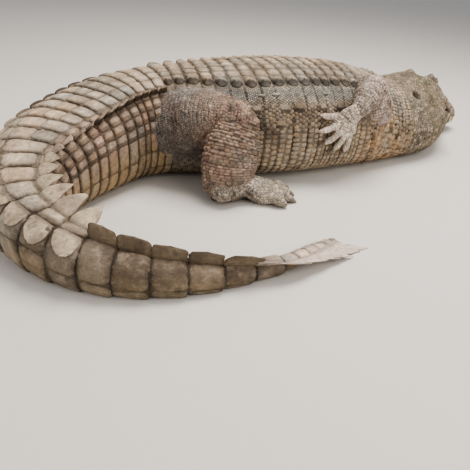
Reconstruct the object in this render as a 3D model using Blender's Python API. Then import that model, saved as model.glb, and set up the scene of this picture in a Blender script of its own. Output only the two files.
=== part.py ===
# A saltwater crocodile lying on its belly, as a still, life-size model.
# The animal faces +X, its left side is toward +Y, and it rests on the plane z = 0.
# The tail bends round to the animal's right in a U and ends beside the belly.
import math

import bmesh
import bpy
import numpy as np
from mathutils import Vector

# Driving dimensions, in metres.
PART_GAP = 0.0003            # space between pieces that meet
FLOOR_SINK = 0.012           # how far the round underside is pressed flat against the floor
RING_SIDES = 18              # points round one section of the body
NECK_STEP, TRUNK_STEP, TAIL_STEP = 0.054, 0.092, 0.084   # space between sections
HEAD_ORIGIN = Vector((0.608, 0.160, 0.0))   # middle of the back of the skull, on the floor
HEAD_TURN = math.radians(21)                # the head looks this far to the animal's left
HEAD_LENGTH = 0.640
NECK_BACK = -0.045           # where the head meets the neck, measured along the head
TRUNK_START = 0.880          # distance from the snout to the end of the neck
TAIL_CUTS = [0.0, 0.33, 0.66, 0.95, 1.27, 1.62]   # distances along the tail where its lengths part
MOUTH_CORNER = 0.165         # distance of the mouth corner from the back of the skull
LIP_OVERHANG = 0.006         # the lower jaw is this much narrower than the upper one

# Body sections from the snout to the tip of the tail.
# Head rows: distance ahead of the skull's back, half width, top, underside, belt, square top, square bottom.
HEAD_SECTIONS = [
    (0.640, 0.032, 0.104, 0.052, 0.45, 2.0, 2.0),
    (0.625, 0.058, 0.132, 0.036, 0.45, 2.2, 2.2),
    (0.590, 0.076, 0.146, 0.024, 0.45, 2.3, 2.3),
    (0.530, 0.086, 0.148, 0.016, 0.45, 2.3, 2.4),
    (0.465, 0.085, 0.158, 0.010, 0.42, 2.2, 2.4),
    (0.390, 0.117, 0.200, 0.004, 0.42, 2.1, 2.4),
    (0.305, 0.158, 0.278, 0.000, 0.46, 2.2, 2.4),
    (0.230, 0.202, 0.326, -0.006, 0.48, 2.4, 2.5),
    (0.150, 0.222, 0.334, -0.012, 0.46, 2.1, 2.7),
    (0.080, 0.228, 0.336, -0.012, 0.42, 1.9, 2.8),
]
# Body rows: x, y, half width, top, belt, square top, square bottom, roll toward the animal's left.
# The underside is pressed on the floor. The end of the tail rolls over onto its left side.
BODY_SECTIONS = [
    (0.500, 0.148, 0.224, 0.350, 0.43, 2.0, 2.6, 0),
    (0.390, 0.154, 0.262, 0.388, 0.44, 2.3, 2.7, 0),
    (0.260, 0.174, 0.302, 0.411, 0.44, 2.4, 2.8, 0),
    (0.120, 0.188, 0.328, 0.420, 0.44, 2.4, 2.8, 0),
    (-0.060, 0.190, 0.332, 0.424, 0.44, 2.4, 2.8, 0),
    (-0.230, 0.200, 0.312, 0.418, 0.45, 2.4, 2.8, 0),
    (-0.380, 0.214, 0.276, 0.406, 0.46, 2.5, 2.8, 0),
    (-0.530, 0.222, 0.240, 0.388, 0.48, 2.6, 2.8, 0),
    (-0.688, 0.184, 0.222, 0.362, 0.50, 2.8, 2.9, 0),
    (-0.828, 0.092, 0.210, 0.328, 0.50, 3.0, 2.9, 0),
    (-0.958, -0.034, 0.184, 0.288, 0.50, 3.0, 2.9, 0),
    (-1.040, -0.182, 0.144, 0.246, 0.50, 2.9, 2.8, 0),
    (-1.046, -0.342, 0.108, 0.208, 0.50, 2.6, 2.7, 0),
    (-0.972, -0.486, 0.092, 0.180, 0.48, 2.3, 2.6, 0),
    (-0.840, -0.600, 0.078, 0.138, 0.46, 2.1, 2.5, 0),
    (-0.675, -0.663, 0.062, 0.100, 0.45, 2.0, 2.4, 3),
    (-0.510, -0.682, 0.044, 0.074, 0.44, 2.0, 2.3, 18),
    (-0.340, -0.666, 0.029, 0.060, 0.42, 2.0, 2.2, 56),
    (-0.185, -0.603, 0.019, 0.048, 0.40, 2.0, 2.0, 80),
    (-0.090, -0.566, 0.010, 0.030, 0.40, 2.0, 2.0, 86),
]
TAIL_START = 7               # body row at the root of the tail; distances below are measured from it
# Rings of scales round the tail: distance along the tail and the length of one ring there.
TAIL_PITCH = [(0.00, 0.050), (0.40, 0.058), (0.90, 0.076), (1.15, 0.082), (1.25, 0.098),
              (1.62, 0.096), (1.68, 0.058), (1.90, 0.042), (2.20, 0.028)]
CREST_MEETS = 1.12           # the double crest becomes a single one this far along the tail
# Plates of the double crest: distance along the tail, height, lean of the right and of the left plate
# off upright, sweep toward the tip. The plates fall outward, away from each other.
DOUBLE_CREST = [(0.00, 0.030, 30, 60, 0.10), (0.40, 0.036, 40, 70, 0.15), (0.70, 0.052, 54, 90, 0.30),
                (0.86, 0.080, 58, 104, 0.40), (1.00, 0.096, 64, 112, 0.30), (1.12, 0.092, 70, 108, 0.16)]
CREST_SPREAD = [(0.0, 0.70), (0.5, 0.72), (1.12, 0.22)]   # how far each row stands off the middle line
LEFT_SHARE = [(0.00, 0.36), (0.70, 0.42), (0.86, 0.72)]   # height of a left plate against the right one
# Plates of the single crest: distance along the tail, height, sweep toward the tip.
SINGLE_CREST = [(1.12, 0.048, 0.05), (1.24, 0.044, 0.04), (1.42, 0.036, 0.04), (1.60, 0.038, 0.25),
                (1.70, 0.050, 0.55), (1.80, 0.068, 0.85), (1.90, 0.072, 1.10), (2.00, 0.056, 1.10)]
CREST_THICK = 0.008
KNEE_OVERLAP = 0.012         # the upper length of a limb runs this far past the bend
CLAWS_PER_FOOT = 3
CREST_ROOT = 0.017           # depth of a plate's foot in the body
ROOT_LEAN = 55               # the foot of a plate goes into the body no flatter than this
# A plate from foot to edge: share of its height, width and thickness there, and how far it has swept back.
PLATE_LEVELS = [(0.0, 1.0, 1.0, 0.0), (0.62, 0.94, 0.6, 0.40), (1.0, 0.36, 0.3, 1.0)]
EYE_RADIUS = 0.019
EYE_PLACE = (0.240, 0.074, 0.312)   # ahead of the skull's back, off the middle, above the floor
TOOTH_LENGTH = 0.022
TOOTH_RADII = (0.0060, 0.0014)   # at the root and at the point
UPPER_TEETH = [0.600, 0.575, 0.538, 0.495, 0.440, 0.404, 0.368, 0.332, 0.296, 0.264, 0.236]
LOWER_TEETH = [0.618, 0.467]


def clear_scene():
    for item in list(bpy.data.objects):
        bpy.data.objects.remove(item, do_unlink=True)


def collection_named(name):
    found = bpy.data.collections.new(name)
    bpy.context.scene.collection.children.link(found)
    return found


def finish_material(name, colour, roughness):
    made = bpy.data.materials.new(name)
    made.use_nodes = True
    shader = made.node_tree.nodes["Principled BSDF"]
    shader.inputs["Base Color"].default_value = (*colour, 1.0)
    shader.inputs["Roughness"].default_value = roughness
    shader.inputs["Metallic"].default_value = 0.0
    return made


# ---- the sections of the body -------------------------------------------------------------------

def smooth_through(keys, values, at):
    # Cubic curve through the values, with each key's slope taken from its neighbours.
    slopes = np.gradient(values, keys, axis=0)
    cell = np.clip(np.searchsorted(keys, at) - 1, 0, len(keys) - 2)
    span = (keys[cell + 1] - keys[cell])[:, None]
    t = (at - keys[cell])[:, None] / span
    start, end = values[cell], values[cell + 1]
    return (
        start * (1 + 2 * t) * (1 - t) ** 2
        + end * t * t * (3 - 2 * t)
        + span * slopes[cell] * t * (1 - t) ** 2
        + span * slopes[cell + 1] * t * t * (t - 1)
    )


def body_table():
    ahead = np.array([math.cos(HEAD_TURN), math.sin(HEAD_TURN)])
    rows = []
    for along, half, top, low, belt, square_top, square_low in HEAD_SECTIONS:
        place = np.array(HEAD_ORIGIN[:2]) + ahead * along
        rows.append((*place, half, top, low, belt, square_top, square_low, 0))
    for x, y, half, top, belt, square_top, square_low, roll in BODY_SECTIONS:
        sink = min(FLOOR_SINK, 0.2 * half)
        rows.append((x, y, half, top, -sink, belt, square_top, square_low, roll))
    table = np.array(rows)
    steps = np.linalg.norm(np.diff(table[:, :2], axis=0), axis=1)
    return np.concatenate([[0.0], np.cumsum(steps)]), table


STATIONS, TABLE = body_table()
TAIL_ROOT = STATIONS[len(HEAD_SECTIONS) + TAIL_START]   # distance from the snout to the tail


def spine_at(distances):
    values = smooth_through(STATIONS, TABLE, distances)
    nudge = 1e-3
    ahead = smooth_through(STATIONS, TABLE, distances - nudge)[:, :2]
    behind = smooth_through(STATIONS, TABLE, distances + nudge)[:, :2]
    heading = ahead - behind
    heading /= np.linalg.norm(heading, axis=1)[:, None]
    return values, heading


def skull_relief(along, side):
    # Height added over the head's round top: the skull table, brow ridges and nostril mound.
    table_span = 1 / (1 + np.exp((np.abs(along - 0.075) - 0.088) / 0.008))
    table = 0.020 * table_span / (1 + np.exp((np.abs(side) - 0.088) / 0.006))
    brow = 0.024 * np.exp(-((along - 0.233) / 0.045) ** 2 - ((np.abs(side) - 0.064) / 0.026) ** 2)
    nostril = 0.012 * np.exp(-((along - 0.588) / 0.028) ** 2 - (side / 0.036) ** 2)
    return table + brow + nostril


def top_height(row, side):
    # Height of the back over the floor at a distance from the middle line.
    x, y, half, top, low, belt, square_top = row[:7]
    belt_height = low + belt * (top - low)
    share = np.clip(np.abs(side) / half, 0, 1) ** square_top
    return belt_height + (top - belt_height) * (1 - share) ** (1 / square_top)


def rolled(row, side, height):
    # Turns a section about its belt, and lets it down to the floor again.
    half, low, belt, roll = row[2], row[4], row[5], math.radians(row[8])
    if roll == 0:
        return side, height
    middle = low + belt * (row[3] - low)
    turned_side = side * math.cos(roll) + (height - middle) * math.sin(roll)
    turned_height = (height - middle) * math.cos(roll) - side * math.sin(roll)
    lowest = -math.hypot((middle - low) * math.cos(roll), half * math.sin(roll))
    return turned_side, turned_height - lowest + low


def body_rings(distances, grow=0.0, jaw_inset=0.0):
    values, heading = spine_at(distances)
    angle = np.linspace(0, 2 * math.pi, RING_SIDES, endpoint=False) + math.pi / RING_SIDES
    across, lift = np.cos(angle), np.sin(angle)
    rings = []
    for row, ahead, distance in zip(values, heading, distances):
        x, y, half, top, low, belt, square_top, square_low, roll = row
        square = np.where(lift > 0, square_top, square_low)
        side = (half + grow) * np.sign(across) * np.abs(across) ** (2 / square)
        belt_height = low + belt * (top - low)
        reach = np.where(lift > 0, top + grow - belt_height, belt_height - low + grow)
        height = belt_height + np.sign(lift) * reach * np.abs(lift) ** (2 / square)
        along = HEAD_LENGTH - distance
        if along > NECK_BACK:
            height = height + np.where(lift > 0, skull_relief(along, side), 0.0)
            side = side * (1 - jaw_inset / half)
        side, height = rolled(row, side, height)
        height = np.maximum(height, -grow)
        left = np.array([-ahead[1], ahead[0]])
        rings.append(np.column_stack([x + left[0] * side, y + left[1] * side, height]))
    return rings


# ---- mesh helpers -------------------------------------------------------------------------------

def mesh_object(name, points, faces, group):
    shape = bpy.data.meshes.new(name)
    shape.from_pydata([tuple(point) for point in points], [], faces)
    shape.validate()
    made = bpy.data.objects.new(name, shape)
    group.objects.link(made)
    return made


def loft(name, rings, group):
    # Closed tube through the rings, which all have the same number of points.
    sides = len(rings[0])
    points = np.concatenate(rings)
    faces = [tuple(range(sides))]
    for level in range(len(rings) - 1):
        for side in range(sides):
            first = level * sides + side
            second = level * sides + (side + 1) % sides
            faces += [(first, first + sides, second + sides), (first, second + sides, second)]
    last = (len(rings) - 1) * sides
    faces.append(tuple(last + side for side in reversed(range(sides))))
    made = mesh_object(name, points, faces, group)
    face_outward(made)
    return made


def face_outward(item):
    shape = item.data
    volume = 0.0
    shape.calc_loop_triangles()
    for triangle in shape.loop_triangles:
        a, b, c = (shape.vertices[index].co for index in triangle.vertices)
        volume += a.dot(b.cross(c))
    if volume < 0:
        shape.flip_normals()


def apply_boolean(item, other, operation, solver="EXACT"):
    step = item.modifiers.new("cut", "BOOLEAN")
    step.operation = operation
    step.solver = solver
    step.object = other
    graph = bpy.context.evaluated_depsgraph_get()
    shape = bpy.data.meshes.new_from_object(item.evaluated_get(graph), depsgraph=graph)
    item.modifiers.remove(step)
    shape.name = item.name
    item.data = shape


def merged(name, pieces, group):
    # One object from many pieces that don't touch each other.
    points, faces = [], []
    for piece in pieces:
        first = len(points)
        points += [tuple(vertex.co) for vertex in piece.data.vertices]
        faces += [tuple(first + index for index in face.vertices) for face in piece.data.polygons]
        bpy.data.objects.remove(piece, do_unlink=True)
    return mesh_object(name, points, faces, group)


def join_on(item, pieces, group, turns=1):
    # Pieces that may touch their neighbours are added in turns, so that no turn has two that touch.
    # The exact solver loses the long thin feet of the crest, so these unions use the manifold one.
    for turn in range(turns):
        share = pieces[turn::turns]
        if share:
            added = merged("added", share, group)
            apply_boolean(item, added, "UNION", "MANIFOLD")
            bpy.data.objects.remove(added, do_unlink=True)
    keep_main_body(item)


def keep_main_body(item):
    # Drops the splinters a union leaves: small closed bodies that only touch the main one along an edge.
    build = bmesh.new()
    build.from_mesh(item.data)
    islands, seen = [], set()
    for seed in build.faces:
        if seed in seen:
            continue
        seen.add(seed)
        island, front = [], [seed]
        while front:
            face = front.pop()
            island.append(face)
            for edge in face.edges:
                for beside in edge.link_faces if len(edge.link_faces) == 2 else ():
                    if beside not in seen:
                        seen.add(beside)
                        front.append(beside)
        islands.append(island)
    islands.sort(key=len)
    bmesh.ops.delete(build, geom=[face for island in islands[:-1] for face in island], context="FACES")
    build.to_mesh(item.data)
    build.free()


def cut_away(item, others):
    for other in others:
        apply_boolean(item, other, "DIFFERENCE")


def tube_rings(points, radii, sides, flatten=1.0, grow=0.0, floor=False, up=(0, 0, 1)):
    # Round sections along a bent centre line; flatten squeezes them along the up direction.
    points = [Vector(point) for point in points]
    rings = []
    for index, point in enumerate(points):
        before = points[max(index - 1, 0)]
        after = points[min(index + 1, len(points) - 1)]
        ahead = (after - before).normalized()
        point = point + ahead * (grow * ((index == len(points) - 1) - (index == 0)))
        side = ahead.cross(Vector(up)).normalized()
        rise = side.cross(ahead)
        ring = []
        for turn in range(sides):
            angle = 2 * math.pi * turn / sides
            offset = side * math.cos(angle) + rise * math.sin(angle) * flatten
            place = point + offset * (radii[index] + grow)
            if floor:
                place.z = max(place.z, -grow)
            ring.append(tuple(place))
        rings.append(np.array(ring))
    return rings


def bend_through(points, count):
    # Evenly stepped points on a smooth curve through a few given ones.
    points = np.array(points, dtype=float)
    keys = np.concatenate([[0.0], np.cumsum(np.linalg.norm(np.diff(points, axis=0), axis=1))])
    return smooth_through(keys, points, np.linspace(0, keys[-1], count))


# ---- head ---------------------------------------------------------------------------------------

def head_place(along, side, height):
    ahead = Vector((math.cos(HEAD_TURN), math.sin(HEAD_TURN), 0))
    left = Vector((-ahead.y, ahead.x, 0))
    return HEAD_ORIGIN + ahead * along + left * side + Vector((0, 0, height))


def mouth_height(along):
    # The lip line: low and wavy along the snout, rising toward the corner of the mouth.
    rise = 0.150 * (1 / (1 + np.exp((along - 0.275) / 0.036)))
    wave = 0.006 * math.sin((along - 0.32) * 36) * (along > MOUTH_CORNER)
    return 0.070 + rise + wave


def mouth_block(name, upper, group):
    # Everything above, or below, the lip line, as one wide block round the head.
    reach = np.linspace(NECK_BACK - 0.05, HEAD_LENGTH + 0.05, 21)
    edge = [(along, mouth_height(along) + PART_GAP * (0.5 if upper else -0.5)) for along in reach]
    far = 0.6 if upper else -0.2
    outline = edge + [(reach[-1], far), (reach[0], far)]
    half = 0.4
    rings = [np.array([tuple(head_place(a, side, z)) for a, z in outline]) for side in (-half, half)]
    return loft(name, rings, group)


def tooth(name, along, side_sign, upward, grow, group):
    values, _ = spine_at(np.array([HEAD_LENGTH - along]))
    half = half_width_at(values[0], mouth_height(along)) - (0.003 if not upward else 0.010)
    root = mouth_height(along) + (0.012 if not upward else -0.014)
    tip = mouth_height(along) + (TOOTH_LENGTH if upward else -TOOTH_LENGTH)
    base = head_place(along, side_sign * half, root)
    point = head_place(along, side_sign * (half + 0.002), tip)
    return loft(name, tube_rings([base, point], TOOTH_RADII, 4, grow=grow), group)


def half_width_at(row, height):
    # Half width of a section at a height above the floor.
    x, y, half, top, low, belt, square_top, square_low = row[:8]
    belt_height = low + belt * (top - low)
    above = height > belt_height
    reach = top - belt_height if above else belt_height - low
    square = square_top if above else square_low
    share = min(abs(height - belt_height) / reach, 1.0) ** square
    return half * (1 - share) ** (1 / square)


def head_reach(count):
    # Distances from the snout for the head's sections: close together at the snout, then even.
    end = HEAD_LENGTH - NECK_BACK - PART_GAP / 2
    return np.concatenate([[0.0, 0.010, 0.025], np.linspace(0.050, end, count)])


def make_head(group, cutters):
    head = loft("head", body_rings(head_reach(16)), group)
    jaw = loft("lower_jaw", body_rings(head_reach(11), jaw_inset=LIP_OVERHANG), group)
    apply_and_remove(head, mouth_block("above_lips", True, cutters))
    apply_and_remove(jaw, mouth_block("below_lips", False, cutters))
    set_teeth(head, jaw, UPPER_TEETH, False, cutters)
    set_teeth(jaw, head, LOWER_TEETH, True, cutters)
    for name, side_sign in (("right_eye", -1), ("left_eye", 1)):
        along, side, height = EYE_PLACE
        place = head_place(along, side_sign * side, height)
        shade_round(ball(name, place, EYE_RADIUS, group))
        socket = ball("eye_socket", place, EYE_RADIUS + PART_GAP, cutters)
        apply_boolean(head, socket, "DIFFERENCE")
        bpy.data.objects.remove(socket, do_unlink=True)


def set_teeth(jaw, other_jaw, places, upward, cutters):
    # A row of teeth on each side of one jaw, with room for them in the other.
    spots = [(along, side_sign) for side_sign in (-1, 1) for along in places]
    join_on(jaw, [tooth("tooth", *spot, upward, 0.0, cutters) for spot in spots], cutters)
    sockets = merged("sockets", [tooth("socket", *spot, upward, PART_GAP, cutters) for spot in spots], cutters)
    apply_boolean(other_jaw, sockets, "DIFFERENCE")
    bpy.data.objects.remove(sockets, do_unlink=True)


def apply_and_remove(item, block):
    apply_boolean(item, block, "INTERSECT")
    bpy.data.objects.remove(block, do_unlink=True)


def ball(name, place, radius, group):
    shape = bpy.data.meshes.new(name)
    made = bpy.data.objects.new(name, shape)
    group.objects.link(made)
    build = bmesh.new()
    bmesh.ops.create_uvsphere(build, u_segments=10, v_segments=8, radius=radius)
    build.to_mesh(shape)
    build.free()
    made.location = place
    return made


def shade_round(item):
    item.data.shade_smooth()


# ---- neck, trunk and tail -----------------------------------------------------------------------

def values_at(rows, distance):
    rows = np.array(rows, dtype=float)
    return [float(np.interp(distance, rows[:, 0], rows[:, column])) for column in range(1, rows.shape[1])]


def tail_ring_edges():
    # Distances along the tail where one ring of scales ends and the next begins.
    edges = [0.0]
    while edges[-1] < STATIONS[-1] - TAIL_ROOT - 0.03:
        edges.append(edges[-1] + values_at(TAIL_PITCH, edges[-1])[0])
    return edges


def crest_frame(distance, side):
    # The back's surface beside the middle line: the point there, and its up and leftward directions.
    values, heading = spine_at(np.array([TAIL_ROOT + distance]))
    row, ahead = values[0], heading[0]
    roll = math.radians(row[8])
    foot_side, foot_height = rolled(row, side, top_height(row, side))
    left, upright = Vector((-ahead[1], ahead[0], 0)), Vector((0, 0, 1))
    foot = Vector((row[0], row[1], 0)) + left * foot_side + upright * foot_height
    up = upright * math.cos(roll) + left * math.sin(roll)
    across = left * math.cos(roll) - upright * math.sin(roll)
    return foot, up, across


def crest_plate(distance, length, side, height, lean, sweep, group):
    # One plate of the crest: a blade that is wide at its foot and pointed toward the tip of the tail.
    # Its lean is toward the animal's right, and past 90 degrees it hangs.
    root_lean = max(-ROOT_LEAN, min(lean, ROOT_LEAN))

    def corner(shift, rise, lean, out):
        foot, up, across = crest_frame(distance + shift, side)
        tilt = math.radians(lean)
        risen = up * math.cos(tilt) - across * math.sin(tilt)
        face = up * math.sin(tilt) + across * math.cos(tilt)
        return tuple(foot + risen * rise + face * out)

    def ring(rise, lean, width, thick, shift):
        middle = sweep * shift * length
        half_width, half_thick = width * length / 2, thick * CREST_THICK / 2
        return np.array([corner(middle + half_width, rise, lean, 0.0), corner(middle, rise, lean, half_thick),
                         corner(middle - half_width, rise, lean, 0.0), corner(middle, rise, lean, -half_thick)])

    rings = [ring(-CREST_ROOT, root_lean, *PLATE_LEVELS[0][1:])]
    rings += [ring(level * height, lean, *shape) for level, *shape in PLATE_LEVELS]
    return loft("crest_plate", rings, group)


def crest_plates(start, end, edges, group):
    plates = []
    for first, second in zip(edges, edges[1:]):
        middle, length = (first + second) / 2, (second - first)
        if not start <= first < end:
            continue
        if middle < CREST_MEETS:
            height, right_lean, left_lean, sweep = values_at(DOUBLE_CREST, middle)
            half = spine_at(np.array([TAIL_ROOT + middle]))[0][0][2]
            spread = np.interp(middle, *zip(*CREST_SPREAD)) * half
            plates.append(crest_plate(middle, 0.9 * length, -spread, height, right_lean, sweep, group))
            left_height = height * np.interp(middle, *zip(*LEFT_SHARE))
            plates.append(crest_plate(middle, 0.9 * length, spread, left_height, -left_lean, 0.1, group))
        else:
            height, sweep = values_at(SINGLE_CREST, middle)
            plates.append(crest_plate(middle, 0.92 * length, 0.0, height, 0, sweep, group))
    return plates


def tail_starts(edges):
    # Where the tail's lengths begin, each moved to the nearest joint between two rings of scales.
    return [min(edges, key=lambda edge: abs(edge - goal)) for goal in TAIL_CUTS] + [STATIONS[-1] - TAIL_ROOT]


def body_steps(start, end, step):
    # Distances of the sections of one length of the body.
    count = max(3, round((end - start) / step) + 1)
    return np.linspace(start + PART_GAP / 2, end - PART_GAP / 2, count)


def neck_steps():
    return body_steps(HEAD_LENGTH - NECK_BACK, TRUNK_START, NECK_STEP)


def trunk_steps():
    return body_steps(TRUNK_START, TAIL_ROOT, TRUNK_STEP)


def make_trunk_and_tail(group, cutters):
    edges = tail_ring_edges()
    loft("neck", body_rings(neck_steps()), group)
    loft("trunk", body_rings(trunk_steps()), group)
    starts = tail_starts(edges)
    for number, (start, end) in enumerate(zip(starts, starts[1:]), 1):
        steps = body_steps(TAIL_ROOT + start, TAIL_ROOT + end, TAIL_STEP)
        length = loft(f"tail_{number}", body_rings(steps), group)
        join_on(length, crest_plates(start, end, edges, cutters), cutters, turns=4)


# ---- limbs --------------------------------------------------------------------------------------

def flank_place(x, height, out):
    # A point beside the trunk's right flank, at a given x and height, this far out from it.
    values, _ = spine_at(np.linspace(0.7, TAIL_ROOT, 200))
    order = np.argsort(values[:, 0])
    row = [np.interp(x, values[order, 0], values[order, column]) for column in range(8)]
    return (x, row[1] - half_width_at(row, height) - out, height)


def make_tube(name, points, radii, count, sides, flatten, group, grow=0.0, floor=False, up=(0, 0, 1)):
    path = bend_through(points, count)
    widths = np.interp(np.linspace(0, 1, count), np.linspace(0, 1, len(radii)), radii)
    return loft(name, tube_rings(path, widths, sides, flatten, grow, floor, up), group)


def make_foot(name, ankle, foot, group, cutters):
    # A flat palm and tapered toes, joined; each toe arches at its middle joint along the lift direction.
    knuckles, tips, radius, lift = foot["knuckles"], foot["tips"], foot["radius"], Vector(foot["lift"])
    middle, up = Vector(foot["palm"]), lift.normalized()
    end = (Vector(knuckles[0]) + Vector(knuckles[-1])) / 2
    spread = (Vector(knuckles[0]) - Vector(knuckles[-1])).length / 2 + radius
    widths = [radius * 2.0, spread * 0.75, spread]
    sole = make_tube(name, [ankle, middle, end], widths, 5, 10, foot["thick"], group, 0.0, True, up)
    toes = []
    for knuckle, tip in zip(knuckles, tips):
        start = Vector(knuckle).lerp(middle, 0.35)
        bend = Vector(knuckle).lerp(Vector(tip), 0.5) + lift
        radii = [radius * 0.9, radius, radius * 0.8, radius * 0.5]
        toes.append(make_tube("toe", [start, knuckle, bend, tip], radii, 4, 6, 0.9, cutters, 0.0, True, up))
    join_on(sole, toes, cutters, turns=len(toes))
    return sole


def make_claw(name, number, foot, group):
    # A curved horn cone that starts just past the end of its toe.
    knuckle, tip, lift = Vector(foot["knuckles"][number]), Vector(foot["tips"][number]), Vector(foot["lift"])
    radius, length = foot["radius"], foot["claw"]
    ahead, up = (tip - knuckle.lerp(tip, 0.5) - lift).normalized(), lift.normalized()
    root = tip + ahead * PART_GAP * 2
    middle = root + ahead * (length * 0.55) - up * (length * 0.03)
    point = root + ahead * length - up * (length * 0.14)
    radii = [radius * 0.46, radius * 0.34, radius * 0.06]
    return loft(name, tube_rings([root, middle, point], radii, 6, 1.0, 0.0, True, up), group)


def make_limb(prefix, names, joints, radii, foot, body, group, cutters):
    # Upper and lower lengths and the foot, each trimmed to clear the trunk and the length before it.
    root, bend, ankle = (Vector(joint) for joint in joints)
    upper_name, lower_name, foot_name = (f"{prefix}_{name}" for name in names)
    knee_on = bend + (bend - root).normalized() * KNEE_OVERLAP
    upper_path = [root, root.lerp(bend, 0.55) + Vector(foot["swell"]), knee_on]
    lower_path = [bend, bend.lerp(ankle, 0.5) + Vector(foot["calf"]), ankle]

    def lengths(names, grow, where):
        upper = make_tube(names[0], upper_path, radii[0], 6, 12, 1.0, where, grow, False, foot["up"])
        lower = make_tube(names[1], lower_path, radii[1], 6, 12, foot["flat"], where, grow, True, foot["up"])
        return upper, lower

    upper, lower = lengths((upper_name, lower_name), 0.0, group)
    upper_clear, lower_clear = lengths(("clear", "clear"), PART_GAP, cutters)
    sole = make_foot(foot_name, Vector(foot.get("heel", ankle)), foot, group, cutters)
    cut_away(upper, [body])
    cut_away(lower, [body, upper_clear])
    cut_away(sole, [body, upper_clear, lower_clear])
    keep_main_body(sole)
    for spare in (upper_clear, lower_clear):
        bpy.data.objects.remove(spare, do_unlink=True)
    for number in range(CLAWS_PER_FOOT):
        make_claw(f"{foot_name}_claw_{number + 1}", number, foot, group)


def fan(centre, middle_angle, spread, reach, height, plane="floor"):
    # Points set out round a centre, on the floor plane or up the right flank; angles in degrees.
    points = []
    for number, length in enumerate(reach):
        angle = math.radians(middle_angle + spread * (number / (len(reach) - 1) - 0.5))
        along, across = math.cos(angle) * length, math.sin(angle) * length
        if plane == "floor":
            points.append((centre[0] + along, centre[1] + across, height))
        else:
            points.append(flank_place(centre[0] + along, centre[2] + across, height))
    return points


def make_limbs(group, cutters):
    first_tail = TAIL_ROOT + np.array(tail_starts(tail_ring_edges())[:2])
    steps = [neck_steps(), trunk_steps(), body_steps(*first_tail, TAIL_STEP)]
    body = loft("body_clear", body_rings(np.concatenate(steps), grow=PART_GAP), cutters)
    front = ("upper_arm", "forearm", "hand")
    hind = ("thigh", "shank", "foot")
    make_limb("right", front,
              [(0.388, -0.006, 0.205), (0.316, -0.055, 0.364), flank_place(0.215, 0.300, 0.034)],
              [(0.080, 0.078, 0.060), (0.060, 0.056, 0.038)], right_hand(), body, group, cutters)
    make_limb("right", hind,
              [(-0.480, 0.080, 0.205), (-0.286, -0.128, 0.286), (-0.350, -0.190, 0.044)],
              [(0.145, 0.116, 0.066), (0.078, 0.108, 0.110, 0.088)], right_foot(), body, group, cutters)
    make_limb("left", front,
              [(0.450, 0.340, 0.180), (0.330, 0.465, 0.150), (0.430, 0.560, 0.050)],
              [(0.086, 0.080, 0.060), (0.062, 0.056, 0.040)], left_hand(), body, group, cutters)
    make_limb("left", hind,
              [(-0.480, 0.360, 0.200), (-0.290, 0.500, 0.215), (-0.420, 0.600, 0.065)],
              [(0.140, 0.115, 0.078), (0.080, 0.086, 0.054)], left_foot(), body, group, cutters)
    bpy.data.objects.remove(body, do_unlink=True)


# Each foot: which way its limb's broad side faces, how far the limb's flesh swells off a straight line,
# how flat its lower length is, the heel if it lies apart from the ankle, the palm's middle, the knuckles
# and toe ends, and the arch of the toes.

def right_hand():
    # Laid back along the flank, palm inward, so the first finger is the lowest one.
    wrist = (0.215, 0.0, 0.285)
    return {
        "up": (0, -1, 0), "swell": (0.0, -0.02, 0.0), "calf": (0.0, -0.008, 0.004), "flat": 1.0,
        "palm": flank_place(0.165, 0.262, 0.022), "thick": 0.42,
        "knuckles": fan(wrist, 216, -66, (0.090, 0.092, 0.094, 0.096, 0.092), 0.018, "flank"),
        "tips": fan(wrist, 217, -76, (0.156, 0.172, 0.182, 0.184, 0.170), 0.012, "flank"),
        "radius": 0.0180, "lift": (0, -0.010, 0), "claw": 0.030,
    }


def left_hand():
    wrist = (0.430, 0.560, 0.0)
    return {
        "up": (0, 0, 1), "swell": (0.0, 0.0, 0.015), "calf": (0.0, 0.0, 0.006), "flat": 1.0,
        "palm": (0.475, 0.600, 0.026), "thick": 0.42,
        "knuckles": fan(wrist, 40, 80, (0.092, 0.096, 0.096, 0.094, 0.086), 0.016),
        "tips": fan(wrist, 40, 104, (0.160, 0.182, 0.188, 0.176, 0.150), 0.009),
        "radius": 0.0155, "lift": (0, 0, 0.008), "claw": 0.030,
    }


def right_foot():
    ankle = (-0.385, -0.185, 0.0)
    return {
        "up": (0, -1, 0), "swell": (0.0, -0.02, 0.02), "calf": (-0.014, -0.012, 0.0), "flat": 0.75,
        "heel": (-0.388, -0.222, 0.050), "palm": (-0.282, -0.208, 0.057), "thick": 0.72,
        "knuckles": fan(ankle, -12, -28, (0.190, 0.194, 0.190, 0.180), 0.026),
        "tips": fan(ankle, -14, -32, (0.294, 0.292, 0.288, 0.264), 0.012),
        "radius": 0.0280, "lift": (0, 0, 0.010), "claw": 0.022,
    }


def left_foot():
    ankle = (-0.420, 0.600, 0.0)
    return {
        "up": (0, 0, 1), "swell": (0.0, 0.0, 0.02), "calf": (0.0, 0.0, 0.012), "flat": 1.0,
        "palm": (-0.340, 0.640, 0.036), "thick": 0.42,
        "knuckles": fan(ankle, 26, 34, (0.166, 0.172, 0.170, 0.160), 0.020),
        "tips": fan(ankle, 26, 46, (0.262, 0.284, 0.280, 0.250), 0.010),
        "radius": 0.0200, "lift": (0, 0, 0.008), "claw": 0.034,
    }


# ---- the whole animal ---------------------------------------------------------------------------

def colour_everything(group):
    hide = finish_material("hide", (0.34, 0.30, 0.24), 0.75)
    eye = finish_material("eye", (0.30, 0.27, 0.12), 0.15)
    horn = finish_material("claw_horn", (0.16, 0.13, 0.10), 0.45)
    for item in group.objects:
        item.data.materials.clear()
        name = item.name
        item.data.materials.append(eye if "eye" in name else horn if "claw" in name else hide)


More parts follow.
